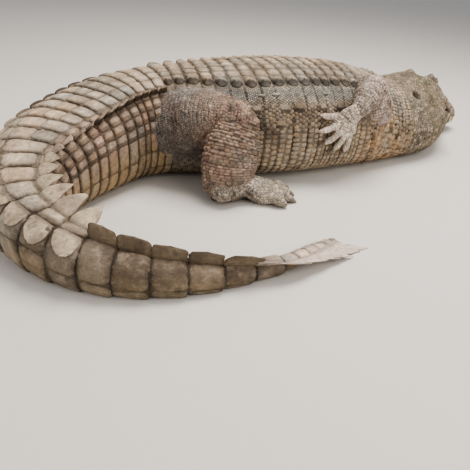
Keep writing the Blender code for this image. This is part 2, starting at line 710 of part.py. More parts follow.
def centre_on_floor(group):
    # Puts the middle of the whole animal's plan over the origin.
    corners = []
    for item in group.objects:
        shift = np.array(item.location)
        points = np.empty(len(item.data.vertices) * 3)
        item.data.vertices.foreach_get("co", points)
        points = points.reshape(-1, 3) + shift
        corners += [points.min(axis=0), points.max(axis=0)]
    corners = np.array(corners)
    middle = (corners.min(axis=0) + corners.max(axis=0)) / 2
    for item in group.objects:
        item.location = Vector(item.location) - Vector((middle[0], middle[1], 0))


def main():
    clear_scene()
    group = collection_named("saltwater_crocodile")
    cutters = collection_named("cutters")
    make_head(group, cutters)
    make_trunk_and_tail(group, cutters)
    make_limbs(group, cutters)
    for item in list(cutters.objects):
        item.hide_render = True
        item.display_type = "WIRE"
    centre_on_floor(group)
    colour_everything(group)


main()
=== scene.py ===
import math

import bmesh
import bpy
import numpy as np
from mathutils import Matrix, Vector
from mathutils.kdtree import KDTree


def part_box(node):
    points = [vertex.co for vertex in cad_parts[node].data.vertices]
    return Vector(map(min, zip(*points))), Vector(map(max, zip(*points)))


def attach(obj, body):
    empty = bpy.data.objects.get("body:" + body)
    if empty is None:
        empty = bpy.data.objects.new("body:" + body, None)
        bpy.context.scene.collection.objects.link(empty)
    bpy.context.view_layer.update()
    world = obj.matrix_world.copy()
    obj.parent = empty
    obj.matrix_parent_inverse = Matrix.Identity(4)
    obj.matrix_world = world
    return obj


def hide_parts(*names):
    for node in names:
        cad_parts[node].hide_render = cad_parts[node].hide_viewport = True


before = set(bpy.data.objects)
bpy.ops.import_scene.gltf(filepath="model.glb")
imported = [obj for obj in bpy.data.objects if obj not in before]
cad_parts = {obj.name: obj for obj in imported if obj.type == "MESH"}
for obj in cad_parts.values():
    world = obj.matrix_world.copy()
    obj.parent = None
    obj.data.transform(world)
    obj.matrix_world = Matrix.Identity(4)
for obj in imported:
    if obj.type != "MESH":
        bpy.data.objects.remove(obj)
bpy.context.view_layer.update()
chance = np.random.default_rng(7)

# The sections of the head and body, as in the solids. Head: distance ahead of the skull's back, half
# width, top, underside, place of the belt, squareness above and below it. Body: x, y, half width, top,
# belt, squareness above and below, and roll in degrees.
headTurn, headLength, neckBack = math.radians(21), 0.640, -0.045
headOrigin = np.array([0.608, 0.160, 0.0])
headRows = [
    (0.640, 0.032, 0.104, 0.052, 0.45, 2.0, 2.0),
    (0.625, 0.058, 0.132, 0.036, 0.45, 2.2, 2.2),
    (0.590, 0.076, 0.146, 0.024, 0.45, 2.3, 2.3),
    (0.530, 0.086, 0.148, 0.016, 0.45, 2.3, 2.4),
    (0.465, 0.085, 0.158, 0.010, 0.42, 2.2, 2.4),
    (0.390, 0.117, 0.200, 0.004, 0.42, 2.1, 2.4),
    (0.305, 0.158, 0.278, 0.000, 0.46, 2.2, 2.4),
    (0.230, 0.202, 0.326, -0.006, 0.48, 2.4, 2.5),
    (0.150, 0.222, 0.334, -0.012, 0.46, 2.1, 2.7),
    (0.080, 0.228, 0.336, -0.012, 0.42, 1.9, 2.8),
]
bodyRows = [
    (0.500, 0.148, 0.224, 0.350, 0.43, 2.0, 2.6, 0),
    (0.390, 0.154, 0.262, 0.388, 0.44, 2.3, 2.7, 0),
    (0.260, 0.174, 0.302, 0.411, 0.44, 2.4, 2.8, 0),
    (0.120, 0.188, 0.328, 0.420, 0.44, 2.4, 2.8, 0),
    (-0.060, 0.190, 0.332, 0.424, 0.44, 2.4, 2.8, 0),
    (-0.230, 0.200, 0.312, 0.418, 0.45, 2.4, 2.8, 0),
    (-0.380, 0.214, 0.276, 0.406, 0.46, 2.5, 2.8, 0),
    (-0.530, 0.222, 0.240, 0.388, 0.48, 2.6, 2.8, 0),
    (-0.688, 0.184, 0.222, 0.362, 0.50, 2.8, 2.9, 0),
    (-0.828, 0.092, 0.210, 0.328, 0.50, 3.0, 2.9, 0),
    (-0.958, -0.034, 0.184, 0.288, 0.50, 3.0, 2.9, 0),
    (-1.040, -0.182, 0.144, 0.246, 0.50, 2.9, 2.8, 0),
    (-1.046, -0.342, 0.108, 0.208, 0.50, 2.6, 2.7, 0),
    (-0.972, -0.486, 0.092, 0.180, 0.48, 2.3, 2.6, 0),
    (-0.840, -0.600, 0.078, 0.138, 0.46, 2.1, 2.5, 0),
    (-0.675, -0.663, 0.062, 0.100, 0.45, 2.0, 2.4, 3),
    (-0.510, -0.682, 0.044, 0.074, 0.44, 2.0, 2.3, 18),
    (-0.340, -0.666, 0.029, 0.060, 0.42, 2.0, 2.2, 56),
    (-0.185, -0.603, 0.019, 0.048, 0.40, 2.0, 2.0, 80),
    (-0.090, -0.566, 0.010, 0.030, 0.40, 2.0, 2.0, 86),
]
tailRow, floorSink = 7, 0.012
tailPitch = [(0.00, 0.050), (0.40, 0.058), (0.90, 0.076), (1.15, 0.082), (1.25, 0.098),
             (1.62, 0.096), (1.68, 0.058), (1.90, 0.042), (2.20, 0.028)]
eyeRadius, eyePlace = 0.019, (0.240, 0.074, 0.312)
coat = {"depth": 0.004, "voxel": 0.0046, "patch": 0.003}


def smoothThrough(keys, values, at):
    slopes = np.gradient(values, keys, axis=0)
    cell = np.clip(np.searchsorted(keys, at) - 1, 0, len(keys) - 2)
    span = (keys[cell + 1] - keys[cell])[:, None]
    t = (at - keys[cell])[:, None] / span
    start, end = values[cell], values[cell + 1]
    return (start * (1 + 2 * t) * (1 - t) ** 2 + end * t * t * (3 - 2 * t)
            + span * slopes[cell] * t * (1 - t) ** 2 + span * slopes[cell + 1] * t * t * (t - 1))


def bodyTable():
    ahead = np.array([math.cos(headTurn), math.sin(headTurn)])
    rows = [(*(headOrigin[:2] + ahead * along), *rest, 0) for along, *rest in headRows]
    rows += [(x, y, half, top, -min(floorSink, 0.2 * half), *rest) for x, y, half, top, *rest in bodyRows]
    table = np.array(rows)
    steps = np.linalg.norm(np.diff(table[:, :2], axis=0), axis=1)
    return np.concatenate([[0.0], np.cumsum(steps)]), table


stations, table = bodyTable()
tailRoot, bodyEnd = stations[len(headRows) + tailRow], stations[-1]


def headPlace(along, side, height):
    ahead = np.array([math.cos(headTurn), math.sin(headTurn), 0.0])
    left = np.array([-ahead[1], ahead[0], 0.0])
    return headOrigin - shift + ahead * along + left * side + np.array([0.0, 0.0, height])


shift = np.zeros(3)
eyeLow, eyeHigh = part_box("right_eye")
shift = headPlace(eyePlace[0], -eyePlace[1], eyePlace[2]) - np.array((eyeLow + eyeHigh) / 2)
shift[2] = 0.0
table[:, :2] -= shift[:2]
print("frame moved by", np.round(shift, 4))


cameraLook = {"place": (-0.93, -1.69, 0.85), "lens": 36.0, "right": (0.9352, -0.3485, 0.0650),
              "up": (0.1352, 0.5199, 0.8434), "back": (-0.3277, -0.7797, 0.5333)}


def makeCamera():
    data = bpy.data.cameras.new("camera")
    data.lens, data.sensor_width, data.clip_start = cameraLook["lens"], 36.0, 0.05
    made = bpy.data.objects.new("camera", data)
    bpy.context.scene.collection.objects.link(made)
    axes = Matrix([cameraLook[name] for name in ("right", "up", "back")]).transposed()
    made.matrix_world = Matrix.Translation(Vector(cameraLook["place"]) - Vector(shift)) @ axes.to_4x4()
    bpy.context.scene.camera = made


makeCamera()


def hashed(cell, seed):
    # A number from 0 to 1 that looks random, for each cell of a grid.
    x, y, z = (cell[..., axis] * prime for axis, prime in enumerate((73856093, 19349663, 83492791)))
    bits = x ^ y ^ z ^ (seed * 2654435)
    bits = (bits ^ (bits >> 13)) * 1274126177
    return ((bits ^ (bits >> 16)) & 0xFFFF) / 65535.0


def noiseAt(points, size, seed=0):
    # Value noise from 0 to 1 with bumps about this size, in metres.
    scaled = np.asarray(points) / size + 512.0
    cell = np.floor(scaled).astype(np.int64)
    part = scaled - cell
    part = part * part * (3 - 2 * part)
    total = 0.0
    for corner in range(8):
        offset = np.array([corner & 1, corner >> 1 & 1, corner >> 2 & 1])
        weight = np.prod(np.where(offset == 1, part, 1 - part), axis=-1)
        total = total + weight * hashed(cell + offset, seed)
    return total


def softStep(low, high, value):
    t = np.clip((value - low) / (high - low), 0, 1)
    return t * t * (3 - 2 * t)


def within(value, rise, fall):
    # 1 between two soft edges and 0 outside them.
    return softStep(*rise, value) * (1 - softStep(*fall, value))


def bell(value, middle, width):
    return np.exp(-((value - middle) / width) ** 2)


class Chart:
    # A grid of points on a surface, with a distance along it and a turn round it.
    # Turns run from -1 to 1. On the body 0 is the middle of the back and 1 the middle of the belly.
    def __init__(self, name, reach, points):
        self.name, self.reach, self.points = name, reach, points
        along = np.gradient(points, reach, axis=0)
        self.turns = np.linspace(-1, 1, points.shape[1])
        around = np.gradient(points, self.turns, axis=1)
        around[:, 0] = around[:, -1] = (around[:, 0] + around[:, -1]) / 2
        self.alongRate = np.linalg.norm(along, axis=2)
        self.aroundRate = np.linalg.norm(around, axis=2)
        normal = np.cross(around, along)
        self.normals = normal / np.maximum(np.linalg.norm(normal, axis=2, keepdims=True), 1e-12)

    def look(self, values, s, v):
        s = np.clip((s - self.reach[0]) / (self.reach[-1] - self.reach[0]) * (len(self.reach) - 1), 0,
                    len(self.reach) - 1.001)
        v = ((v + 1) % 2) / 2 * (len(self.turns) - 1)
        v = np.minimum(v, len(self.turns) - 1.001)
        i, j = s.astype(int), v.astype(int)
        a, b = s - i, v - j
        if values.ndim == 3:
            a, b = a[..., None], b[..., None]
        return (values[i, j] * (1 - a) * (1 - b) + values[i + 1, j] * a * (1 - b)
                + values[i, j + 1] * (1 - a) * b + values[i + 1, j + 1] * a * b)

    def place(self, s, v):
        return self.look(self.points, s, v)

    def rates(self, s, v):
        return self.look(self.alongRate, s, v), self.look(self.aroundRate, s, v)


def evenTurns(rings, count):
    # Rings resampled so that turns are even in length, from the belly over the right side and the back.
    steps = np.linalg.norm(np.diff(rings, axis=1), axis=2)
    lengths = np.concatenate([np.zeros((len(rings), 1)), np.cumsum(steps, axis=1)], axis=1)
    middle = rings.shape[1] // 2
    made = np.empty((len(rings), count, 3))
    goal = np.linspace(-1, 1, count)
    for index, ring in enumerate(rings):
        length = lengths[index]
        share = np.where(np.arange(len(length)) <= middle, length / length[middle] - 1,
                         (length - length[middle]) / (length[-1] - length[middle]))
        for axis in range(3):
            made[index, :, axis] = np.interp(goal, share, ring[:, axis])
    return made


def skullRelief(along, side):
    tableSpan = 1 / (1 + np.exp((np.abs(along - 0.075) - 0.088) / 0.008))
    plate = 0.020 * tableSpan / (1 + np.exp((np.abs(side) - 0.088) / 0.006))
    brow = 0.024 * bell(along, 0.233, 0.045) * bell(np.abs(side), 0.064, 0.026)
    nostril = 0.012 * bell(along, 0.588, 0.028) * bell(side, 0.0, 0.036)
    return plate + brow + nostril


def rolled(side, height, roll, middle, low, half):
    # Places on a section turned about its belt, and let down to the floor again.
    turnedSide = side * np.cos(roll) + (height - middle) * np.sin(roll)
    drop = np.hypot((middle - low) * np.cos(roll), half * np.sin(roll))
    turnedHeight = (height - middle) * np.cos(roll) - side * np.sin(roll) + drop + low
    return np.where(roll == 0, side, turnedSide), np.where(roll == 0, height, turnedHeight)


def headingAt(reach, nudge=1e-3):
    # The way the body faces at some distances from the snout.
    before, after = (smoothThrough(stations, table, reach + way * nudge)[:, :2] for way in (1, -1))
    ahead = after - before
    return ahead / np.linalg.norm(ahead, axis=1)[:, None]


def halfWidthAt(row, height):
    # Half the width of one section at a height above the floor.
    half, top, low, belt, squareTop, squareLow = row[2:8]
    beltHeight = low + belt * (top - low)
    above = height > beltHeight
    span, square = (top - beltHeight, squareTop) if above else (beltHeight - low, squareLow)
    share = min(abs(height - beltHeight) / span, 1.0) ** square
    return half * (1 - share) ** (1 / square)


def bodySurface(reach, inset):
    values = smoothThrough(stations, table, reach)
    heading = headingAt(reach)
    x, y, half, top, low, belt, squareTop, squareLow, roll = (column[:, None] for column in values.T)
    angle = np.linspace(-math.pi, math.pi, 1441)[None]
    across, lift = np.sin(angle), np.cos(angle)
    square = np.where(lift > 0, squareTop, squareLow)
    half = half - inset
    side = half * np.sign(across) * np.abs(across) ** (2 / square)
    beltHeight = low + belt * (top - low)
    rise = np.where(lift > 0, top - inset - beltHeight, beltHeight - low)
    height = beltHeight + np.sign(lift) * rise * np.abs(lift) ** (2 / square)
    along = headLength - reach[:, None]
    onHead = (along > neckBack) & (lift > 0)
    height = height + np.where(onHead, skullRelief(along, side), 0.0)
    side, height = rolled(side, height, np.radians(roll), beltHeight, low, half)
    height = np.maximum(height, inset * 0.6)
    left = np.stack([-heading[:, 1], heading[:, 0]], axis=1)
    return np.stack([x + left[:, 0:1] * side, y + left[:, 1:2] * side, height], axis=2)


bodyReach = np.linspace(0.0, bodyEnd, 1001)
body = Chart("body", bodyReach, evenTurns(bodySurface(bodyReach, coat["depth"]), 241))
print("body chart", body.points.shape, "length", round(bodyEnd, 3), "tail from", round(tailRoot, 3))


def bendThrough(points, count):
    points = np.array(points, dtype=float)
    keys = np.concatenate([[0.0], np.cumsum(np.linalg.norm(np.diff(points, axis=0), axis=1))])
    return smoothThrough(keys, points, np.linspace(0, keys[-1], count))


def tubeChart(name, points, radii, flatten, up, step=0.006, sides=49):
    # A tube with rounded ends. The turn 0 is on the up side.
    points = np.array(points, dtype=float)
    length = np.linalg.norm(np.diff(points, axis=0), axis=1).sum()
    count = max(8, int(length / step))
    path = bendThrough(points, count)
    width = np.interp(np.linspace(0, 1, count), np.linspace(0, 1, len(radii)), radii) - coat["depth"] * 0.8
    ahead = np.gradient(path, axis=0)
    ahead /= np.linalg.norm(ahead, axis=1)[:, None]
    capSteps = 5
    turn = np.linspace(math.pi / 2, 0, capSteps, endpoint=False)
    startPath = path[0] - ahead[0] * width[0] * 0.6 * np.sin(turn)[:, None]
    endPath = path[-1] + ahead[-1] * width[-1] * 0.6 * np.sin(turn[::-1])[:, None]
    path = np.concatenate([startPath, path, endPath])
    width = np.concatenate([width[0] * np.cos(turn), width, width[-1] * np.cos(turn[::-1])])
    ahead = np.concatenate([np.repeat(ahead[:1], capSteps, 0), ahead, np.repeat(ahead[-1:], capSteps, 0)])
    side = np.cross(ahead, np.array(up, dtype=float))
    side /= np.linalg.norm(side, axis=1)[:, None]
    rise = np.cross(side, ahead)
    angle = np.linspace(-math.pi, math.pi, sides)
    spoke = (side[:, None] * np.sin(angle)[None, :, None]
             + rise[:, None] * np.cos(angle)[None, :, None] * flatten)
    rings = path[:, None] + spoke * np.maximum(width, 1e-4)[:, None, None]
    rings[..., 2] = np.maximum(rings[..., 2], 0.0024)
    reach = np.concatenate([[0.0], np.cumsum(np.linalg.norm(np.diff(path, axis=0), axis=1))])
    return Chart(name, np.linspace(0, reach[-1], len(path)), rings)


def flankPlace(x, height, out):
    # A point beside the trunk's right flank, in the frame of the tables.
    values = smoothThrough(stations, table, np.linspace(0.7, tailRoot, 200))
    order = np.argsort(values[:, 0])
    row = [np.interp(x - shift[0], values[order, 0], values[order, column]) for column in range(8)]
    return (x, row[1] + shift[1] - halfWidthAt(row, height) - out, height)


def fan(centre, middle, spread, reach, height, onFlank=False):
    points = []
    for number, length in enumerate(reach):
        angle = math.radians(middle + spread * (number / (len(reach) - 1) - 0.5))
        along, across = math.cos(angle) * length, math.sin(angle) * length
        points.append(flankPlace(centre[0] + along, centre[2] + across, height) if onFlank
                      else (centre[0] + along, centre[1] + across, height))
    return points


limbs = {
    "right_arm": {
        "joints": [(0.388, -0.006, 0.205), (0.316, -0.055, 0.364), flankPlace(0.215, 0.300, 0.034)],
        "radii": [(0.080, 0.078, 0.060), (0.060, 0.056, 0.038)],
        "up": (0, -1, 0), "swell": (0.0, -0.02, 0.0), "calf": (0.0, -0.008, 0.004), "flat": 1.0,
        "palm": flankPlace(0.165, 0.262, 0.022), "thick": 0.42,
        "knuckles": fan((0.215, 0.0, 0.285), 216, -66, (0.090, 0.092, 0.094, 0.096, 0.092), 0.018, True),
        "tips": fan((0.215, 0.0, 0.285), 217, -76, (0.156, 0.172, 0.182, 0.184, 0.170), 0.012, True),
        "radius": 0.0180, "lift": (0, -0.010, 0), "claw": 0.030,
        "nodes": ("right_upper_arm", "right_forearm", "right_hand")},
    "left_arm": {
        "joints": [(0.450, 0.340, 0.180), (0.330, 0.465, 0.150), (0.430, 0.560, 0.050)],
        "radii": [(0.086, 0.080, 0.060), (0.062, 0.056, 0.040)],
        "up": (0, 0, 1), "swell": (0.0, 0.0, 0.015), "calf": (0.0, 0.0, 0.006), "flat": 1.0,
        "palm": (0.475, 0.600, 0.026), "thick": 0.42,
        "knuckles": fan((0.430, 0.560, 0.0), 40, 80, (0.092, 0.096, 0.096, 0.094, 0.086), 0.016),
        "tips": fan((0.430, 0.560, 0.0), 40, 104, (0.160, 0.182, 0.188, 0.176, 0.150), 0.009),
        "radius": 0.0155, "lift": (0, 0, 0.008), "claw": 0.030,
        "nodes": ("left_upper_arm", "left_forearm", "left_hand")},
    "right_leg": {
        "joints": [(-0.480, 0.080, 0.205), (-0.286, -0.128, 0.286), (-0.350, -0.190, 0.044)],
        "radii": [(0.145, 0.116, 0.066), (0.078, 0.108, 0.110, 0.088)],
        "up": (0, -1, 0), "swell": (0.0, -0.02, 0.02), "calf": (-0.014, -0.012, 0.0), "flat": 0.75,
        "heel": (-0.388, -0.222, 0.050), "palm": (-0.282, -0.208, 0.057), "thick": 0.72,
        "knuckles": fan((-0.385, -0.185, 0.0), -12, -28, (0.190, 0.194, 0.190, 0.180), 0.026),
        "tips": fan((-0.385, -0.185, 0.0), -14, -32, (0.294, 0.292, 0.288, 0.264), 0.012),
        "radius": 0.0280, "lift": (0, 0, 0.010), "claw": 0.022,
        "nodes": ("right_thigh", "right_shank", "right_foot")},
    "left_leg": {
        "joints": [(-0.480, 0.360, 0.200), (-0.290, 0.500, 0.215), (-0.420, 0.600, 0.065)],
        "radii": [(0.140, 0.115, 0.078), (0.080, 0.086, 0.054)],
        "up": (0, 0, 1), "swell": (0.0, 0.0, 0.02), "calf": (0.0, 0.0, 0.012), "flat": 1.0,
        "palm": (-0.340, 0.640, 0.036), "thick": 0.42,
        "knuckles": fan((-0.420, 0.600, 0.0), 26, 34, (0.166, 0.172, 0.170, 0.160), 0.020),
        "tips": fan((-0.420, 0.600, 0.0), 26, 46, (0.262, 0.284, 0.280, 0.250), 0.010),
        "radius": 0.0200, "lift": (0, 0, 0.008), "claw": 0.034,
        "nodes": ("left_thigh", "left_shank", "left_foot")},
}


def limbCharts(name, limb):
    place = lambda point: np.array(point, dtype=float) - shift
    root, bend, ankle = (place(joint) for joint in limb["joints"])
    up, lift = limb["up"], np.array(limb["lift"], dtype=float)
    kneeOn = bend + (bend - root) / np.linalg.norm(bend - root) * 0.012
    middle = root + (bend - root) * 0.55 + np.array(limb["swell"])
    calf = (bend + ankle) / 2 + np.array(limb["calf"])
    charts = [tubeChart(name + "_upper", [root, middle, kneeOn], limb["radii"][0], 1.0, up),
              tubeChart(name + "_lower", [bend, calf, ankle], limb["radii"][1], limb["flat"], up)]
    knuckles, tips = [place(point) for point in limb["knuckles"]], [place(point) for point in limb["tips"]]
    palm, radius, lifted = place(limb["palm"]), limb["radius"], lift / np.linalg.norm(lift)
    end = (knuckles[0] + knuckles[-1]) / 2
    spread = np.linalg.norm(knuckles[0] - knuckles[-1]) / 2 + radius
    heel = place(limb["heel"]) if "heel" in limb else ankle
    charts.append(tubeChart(name + "_palm", [heel, palm, end], [radius * 2.0, spread * 0.75, spread],
                            limb["thick"], lifted))
    for number, (knuckle, tip) in enumerate(zip(knuckles, tips)):
        start = knuckle + (palm - knuckle) * 0.35
        arch = (knuckle + tip) / 2 + lift
        radii = [radius * 0.9, radius * 1.02, radius * 0.84, radius * 0.88, radius * 0.52]
        charts.append(tubeChart(f"{name}_toe{number}", [start, knuckle, arch, tip], radii, 0.9, lifted,
                                0.004, 33))
    return charts


charts = [body] + [chart for name, limb in limbs.items() for chart in limbCharts(name, limb)]
print("charts", len(charts))


def meshObject(name, points, faces):
    shape = bpy.data.meshes.new(name)
    faces = np.asarray(faces)
    shape.vertices.add(len(points))
    shape.vertices.foreach_set("co", np.asarray(points, np.float32).ravel())
    shape.loops.add(faces.size)
    shape.loops.foreach_set("vertex_index", faces.ravel().astype(np.int32))
    shape.polygons.add(len(faces))
    shape.polygons.foreach_set("loop_start", np.arange(0, faces.size, faces.shape[1], dtype=np.int32))
    shape.update(calc_edges=True)
    made = bpy.data.objects.new(name, shape)
    bpy.context.scene.collection.objects.link(made)
    return made


def pointsOf(item):
    points = np.empty(len(item.data.vertices) * 3, np.float32)
    item.data.vertices.foreach_get("co", points)
    return points.reshape(-1, 3).astype(float)


def normalsOf(item):
    normals = np.empty(len(item.data.vertices) * 3, np.float32)
    item.data.vertex_normals.foreach_get("vector", normals)
    return normals.reshape(-1, 3).astype(float)


def facesOf(item, corners):
    faces = np.empty(len(item.data.polygons) * corners, np.int32)
    item.data.polygons.foreach_get("vertices", faces)
    return faces.reshape(-1, corners)


def gridFaces(rows, columns):
    # Quads of a grid whose last column meets its first.
    i, j = np.meshgrid(np.arange(rows - 1), np.arange(columns), indexing="ij")
    right = (j + 1) % columns
    corners = (i * columns + j, i * columns + right, (i + 1) * columns + right, (i + 1) * columns + j)
    return np.stack(corners, -1).reshape(-1, 4)


def halved(quads):
    # Each face of four corners as two triangles.
    return np.concatenate([quads[:, [0, 1, 2]], quads[:, [0, 2, 3]]])


def chartMesh(chart, rows, columns):
    # A closed tube: the chart's grid and one point at each end.
    s = np.linspace(chart.reach[0], chart.reach[-1], rows)
    v = np.linspace(-1, 1, columns, endpoint=False)
    grid = chart.place(*np.meshgrid(s, v, indexing="ij")).reshape(-1, 3)
    split = halved(gridFaces(rows, columns))
    first, last = len(grid), len(grid) + 1
    ring = np.arange(columns)
    nextRing = (ring + 1) % columns
    start = np.stack([np.full(columns, first), nextRing, ring], 1)
    base = (rows - 1) * columns
    end = np.stack([np.full(columns, last), base + ring, base + nextRing], 1)
    points = np.concatenate([grid, grid[:columns].mean(0)[None], grid[-columns:].mean(0)[None]])
    return points, np.concatenate([split, start, end])


def stacked(parts):
    # The points and faces of several closed shapes as one list each.
    points, faces, first = [], [], 0
    for partPoints, partFaces in parts:
        points.append(partPoints)
        faces.append(partFaces + first)
        first += len(partPoints)
    return np.concatenate(points), np.concatenate(faces)


def applyAll(item):
    graph = bpy.context.evaluated_depsgraph_get()
    shape = bpy.data.meshes.new_from_object(item.evaluated_get(graph), depsgraph=graph)
    item.modifiers.clear()
    item.data = shape
    return item


folds = {"junctionReach": 0.030, "junctionRounds": 14, "allRounds": 3, "bodyGrid": (760, 200),
         "limbSides": 72}
webs = {"thickness": 0.017, "from": 0.05, "notch": 0.14, "rows": 9, "columns": 7}


def toeWebs(limb, charts, length):
    # Thin skin between neighbouring toes of a hind foot, as flat closed plates.
    sheets = []
    toes = [chart for chart in charts if "toe" in chart.name]
    for first, second in zip(toes, toes[1:]):
        reach = np.linspace(webs["from"], length, webs["rows"])
        a, b = (np.stack([toe.points[int(t * (len(toe.reach) - 1))].mean(0) for t in reach])
                for toe in (first, second))
        lines = []
        for share in np.linspace(0, 1, webs["columns"]):
            cut = 1 - webs["notch"] * (1 - (2 * share - 1) ** 2)
            line = a * (1 - share) + b * share
            lines.append(np.stack([np.interp(reach * cut, reach, line[:, axis]) for axis in range(3)], 1))
        sheet = np.stack(lines, 1)
        up = np.array(limb["lift"]) / np.linalg.norm(limb["lift"])
        top, low = sheet + up * (webs["thickness"] / 2), sheet - up * (webs["thickness"] / 2)
        n, m = sheet.shape[:2]
        grid = np.concatenate([top, low[:, ::-1]], axis=1).reshape(-1, 3)
        faces = halved(gridFaces(n, 2 * m))
        caps = []
        for base, flip in ((0, 1), ((n - 1) * 2 * m, -1)):
            for j in range(m - 1):
                quad = [base + j, base + j + 1, base + 2 * m - 2 - j, base + 2 * m - 1 - j][::-flip]
                caps += [[quad[0], quad[1], quad[2]], [quad[0], quad[2], quad[3]]]
        sheets.append((grid, np.concatenate([faces, np.array(caps)])))
    return sheets


def uniteSkin():
    pieces = [chartMesh(body, *folds["bodyGrid"])]
    pieces += [chartMesh(chart, len(chart.reach) * 2, folds["limbSides"]) for chart in charts[1:]]
    for name in ("right_leg", "left_leg"):
        pieces += toeWebs(limbs[name], [chart for chart in charts if chart.name.startswith(name)], 0.95)
    skin = meshObject("skin", *stacked(pieces))
    step = skin.modifiers.new("unite", "REMESH")
    step.mode, step.voxel_size, step.use_smooth_shade = "VOXEL", coat["voxel"], True
    return applyAll(skin)


def treeOf(points):
    tree = KDTree(len(points))
    for number, point in enumerate(points):
        tree.insert(point, number)
    tree.balance()
    return tree


def chartPlaces(points):
    # For each point: the chart it lies on, its place along and round it, and how near a second chart is.
    nearest, second = np.full((2, len(points)), 9.0)
    owner, s, v = np.zeros(len(points), int), np.zeros(len(points)), np.zeros(len(points))
    parts = {}
    for index, chart in enumerate(charts):
        part = chart.name.rsplit("_", 1)[0] if "toe" in chart.name or "palm" in chart.name else chart.name
        rows = chart.points[:, :-1] if index else chart.points[::2, :-1:2]
        low, high = rows.min((0, 1)) - 0.04, rows.max((0, 1)) + 0.04
        inside = np.nonzero(((points > low) & (points < high)).all(1))[0]
        tree = treeOf(rows.reshape(-1, 3))
        found = [tree.find(points[item])[1:] for item in inside]
        number = np.array([entry[0] for entry in found])
        distance = np.array([entry[1] for entry in found])
        row, column = number // rows.shape[1], number % rows.shape[1]
        stepS, stepV = (2, 2) if index == 0 else (1, 1)
        closer = distance < nearest[inside]
        same = np.array([parts.get(o) == part for o in owner[inside]])
        further = np.where(same, second[inside], np.minimum(second[inside], distance))
        second[inside] = np.where(closer & ~same, nearest[inside], further)
        take = inside[closer]
        nearest[take], owner[take] = distance[closer], index
        s[take] = chart.reach[np.minimum(row[closer] * stepS, len(chart.reach) - 1)]
        v[take] = chart.turns[column[closer] * stepV]
        parts[index] = part
    return owner, s, v, second


def smoothed(item, weights, rounds):
    # Smooths the shape in rounds, each point by its weight from 0 to 1.
    group = item.vertex_groups.new(name="smooth")
    levels = np.clip((weights * 8).astype(int), 0, 8)
    for level in range(1, 9):
        group.add(np.nonzero(levels == level)[0].tolist(), level / 8, "REPLACE")
    step = item.modifiers.new("smooth", "SMOOTH")
    step.factor, step.iterations, step.vertex_group = 0.5, rounds, group.name
    applyAll(item)
    item.vertex_groups.clear()


def refined(item, places, reach, cuts):
    # Splits the faces near some places finer.
    points = pointsOf(item)
    near = np.zeros(len(points), bool)
    for place in places:
        near |= np.linalg.norm(points - place, axis=1) < reach
    build = bmesh.new()
    build.from_mesh(item.data)
    build.verts.ensure_lookup_table()
    picked = {edge for index in np.nonzero(near)[0] for edge in build.verts[index].link_edges}
    bmesh.ops.subdivide_edges(build, edges=list(picked), cuts=cuts, use_grid_fill=True)
    bmesh.ops.triangulate(build, faces=[face for face in build.faces if len(face.verts) > 3])
    build.to_mesh(item.data)
    build.free()


eyes = [headPlace(eyePlace[0], sign * eyePlace[1], eyePlace[2]) for sign in (-1, 1)]
skin = uniteSkin()
print("skin united", len(skin.data.polygons))
smoothed(skin, np.ones(len(skin.data.vertices)), folds["allRounds"])
refined(skin, eyes, 0.042, 2)
refined(skin, [headPlace(0.600, 0.0, 0.14)], 0.045, 1)
owner, skinS, skinV, second = chartPlaces(pointsOf(skin))
junction = 1 - softStep(0.004, folds["junctionReach"], second)
smoothed(skin, junction, folds["junctionRounds"])
print("skin smoothed", np.count_nonzero(owner == 0), "points on the body")

palette = {
    "back": (0.36, 0.285, 0.21), "grey": (0.27, 0.235, 0.195), "flank": (0.215, 0.165, 0.115),
    "lowFlank": (0.42, 0.335, 0.24), "belly": (0.55, 0.47, 0.32), "inner": (0.28, 0.205, 0.15),
    # The tail end's darkest colour is painted shade.
    "ochre": (0.27, 0.195, 0.11), "tailShade": (0.105, 0.074, 0.048), "olive": (0.27, 0.205, 0.12),
    "arm": (0.52, 0.42, 0.365), "leg": (0.27, 0.20, 0.15), "pink": (0.37, 0.24, 0.185),
    "thigh": (0.225, 0.20, 0.18), "pale": (0.47, 0.405, 0.34), "jowl": (0.30, 0.245, 0.175),
    "green": (0.22, 0.20, 0.125), "bead": (0.40, 0.275, 0.165), "blue": (0.23, 0.225, 0.205),
    # The groove colour is painted shade for grooves, hollows and the feet of scales.
    "grooveShade": (0.040, 0.028, 0.020), "dark": (0.075, 0.055, 0.040),
    # The crest's colours are painted light and shade: pale where its horn faces up, dark where it is in
    # shade.
    "bump": (0.065, 0.047, 0.033), "bumpTip": (0.30, 0.22, 0.15), "horn": (0.46, 0.375, 0.27),
    "hornSpots": (0.30, 0.235, 0.17), "plate": (0.10, 0.070, 0.045), "plateSpots": (0.18, 0.135, 0.085),
    "plateRim": (0.36, 0.30, 0.23), "fan": (0.78, 0.66, 0.59), "fanStripes": (0.42, 0.33, 0.28),
}
shade = {name: np.array(colour) for name, colour in palette.items()}


def mixed(first, second, share):
    share = np.clip(share, 0, 1)[:, None]
    return first * (1 - share) + second * share


def over(base, *layers):
    # A colour with others laid over it in turn, each by its share, given or named as in the palette.
    base = shade[base] if isinstance(base, str) else base
    for colour, share in layers:
        base = mixed(base, shade[colour] if isinstance(colour, str) else colour, share)
    return base


def headFrame(points):
    along = np.array([math.cos(headTurn), math.sin(headTurn)])
    offset = points[:, :2] - (headOrigin - shift)[:2]
    return offset @ along, offset @ np.array([-along[1], along[0]]), points[:, 2]


def mouthHeight(along):
    rise = 0.150 / (1 + np.exp((along - 0.275) / 0.036))
    return 0.070 + rise + 0.008 * np.sin((along - 0.32) * 36) * (along > 0.165)


def tailRings():
    edges = [0.0]
    pitch = np.array(tailPitch)
    while edges[-1] < bodyEnd - tailRoot - 0.03:
        edges.append(edges[-1] + float(np.interp(edges[-1], pitch[:, 0], pitch[:, 1])))
    return tailRoot + np.array(edges)


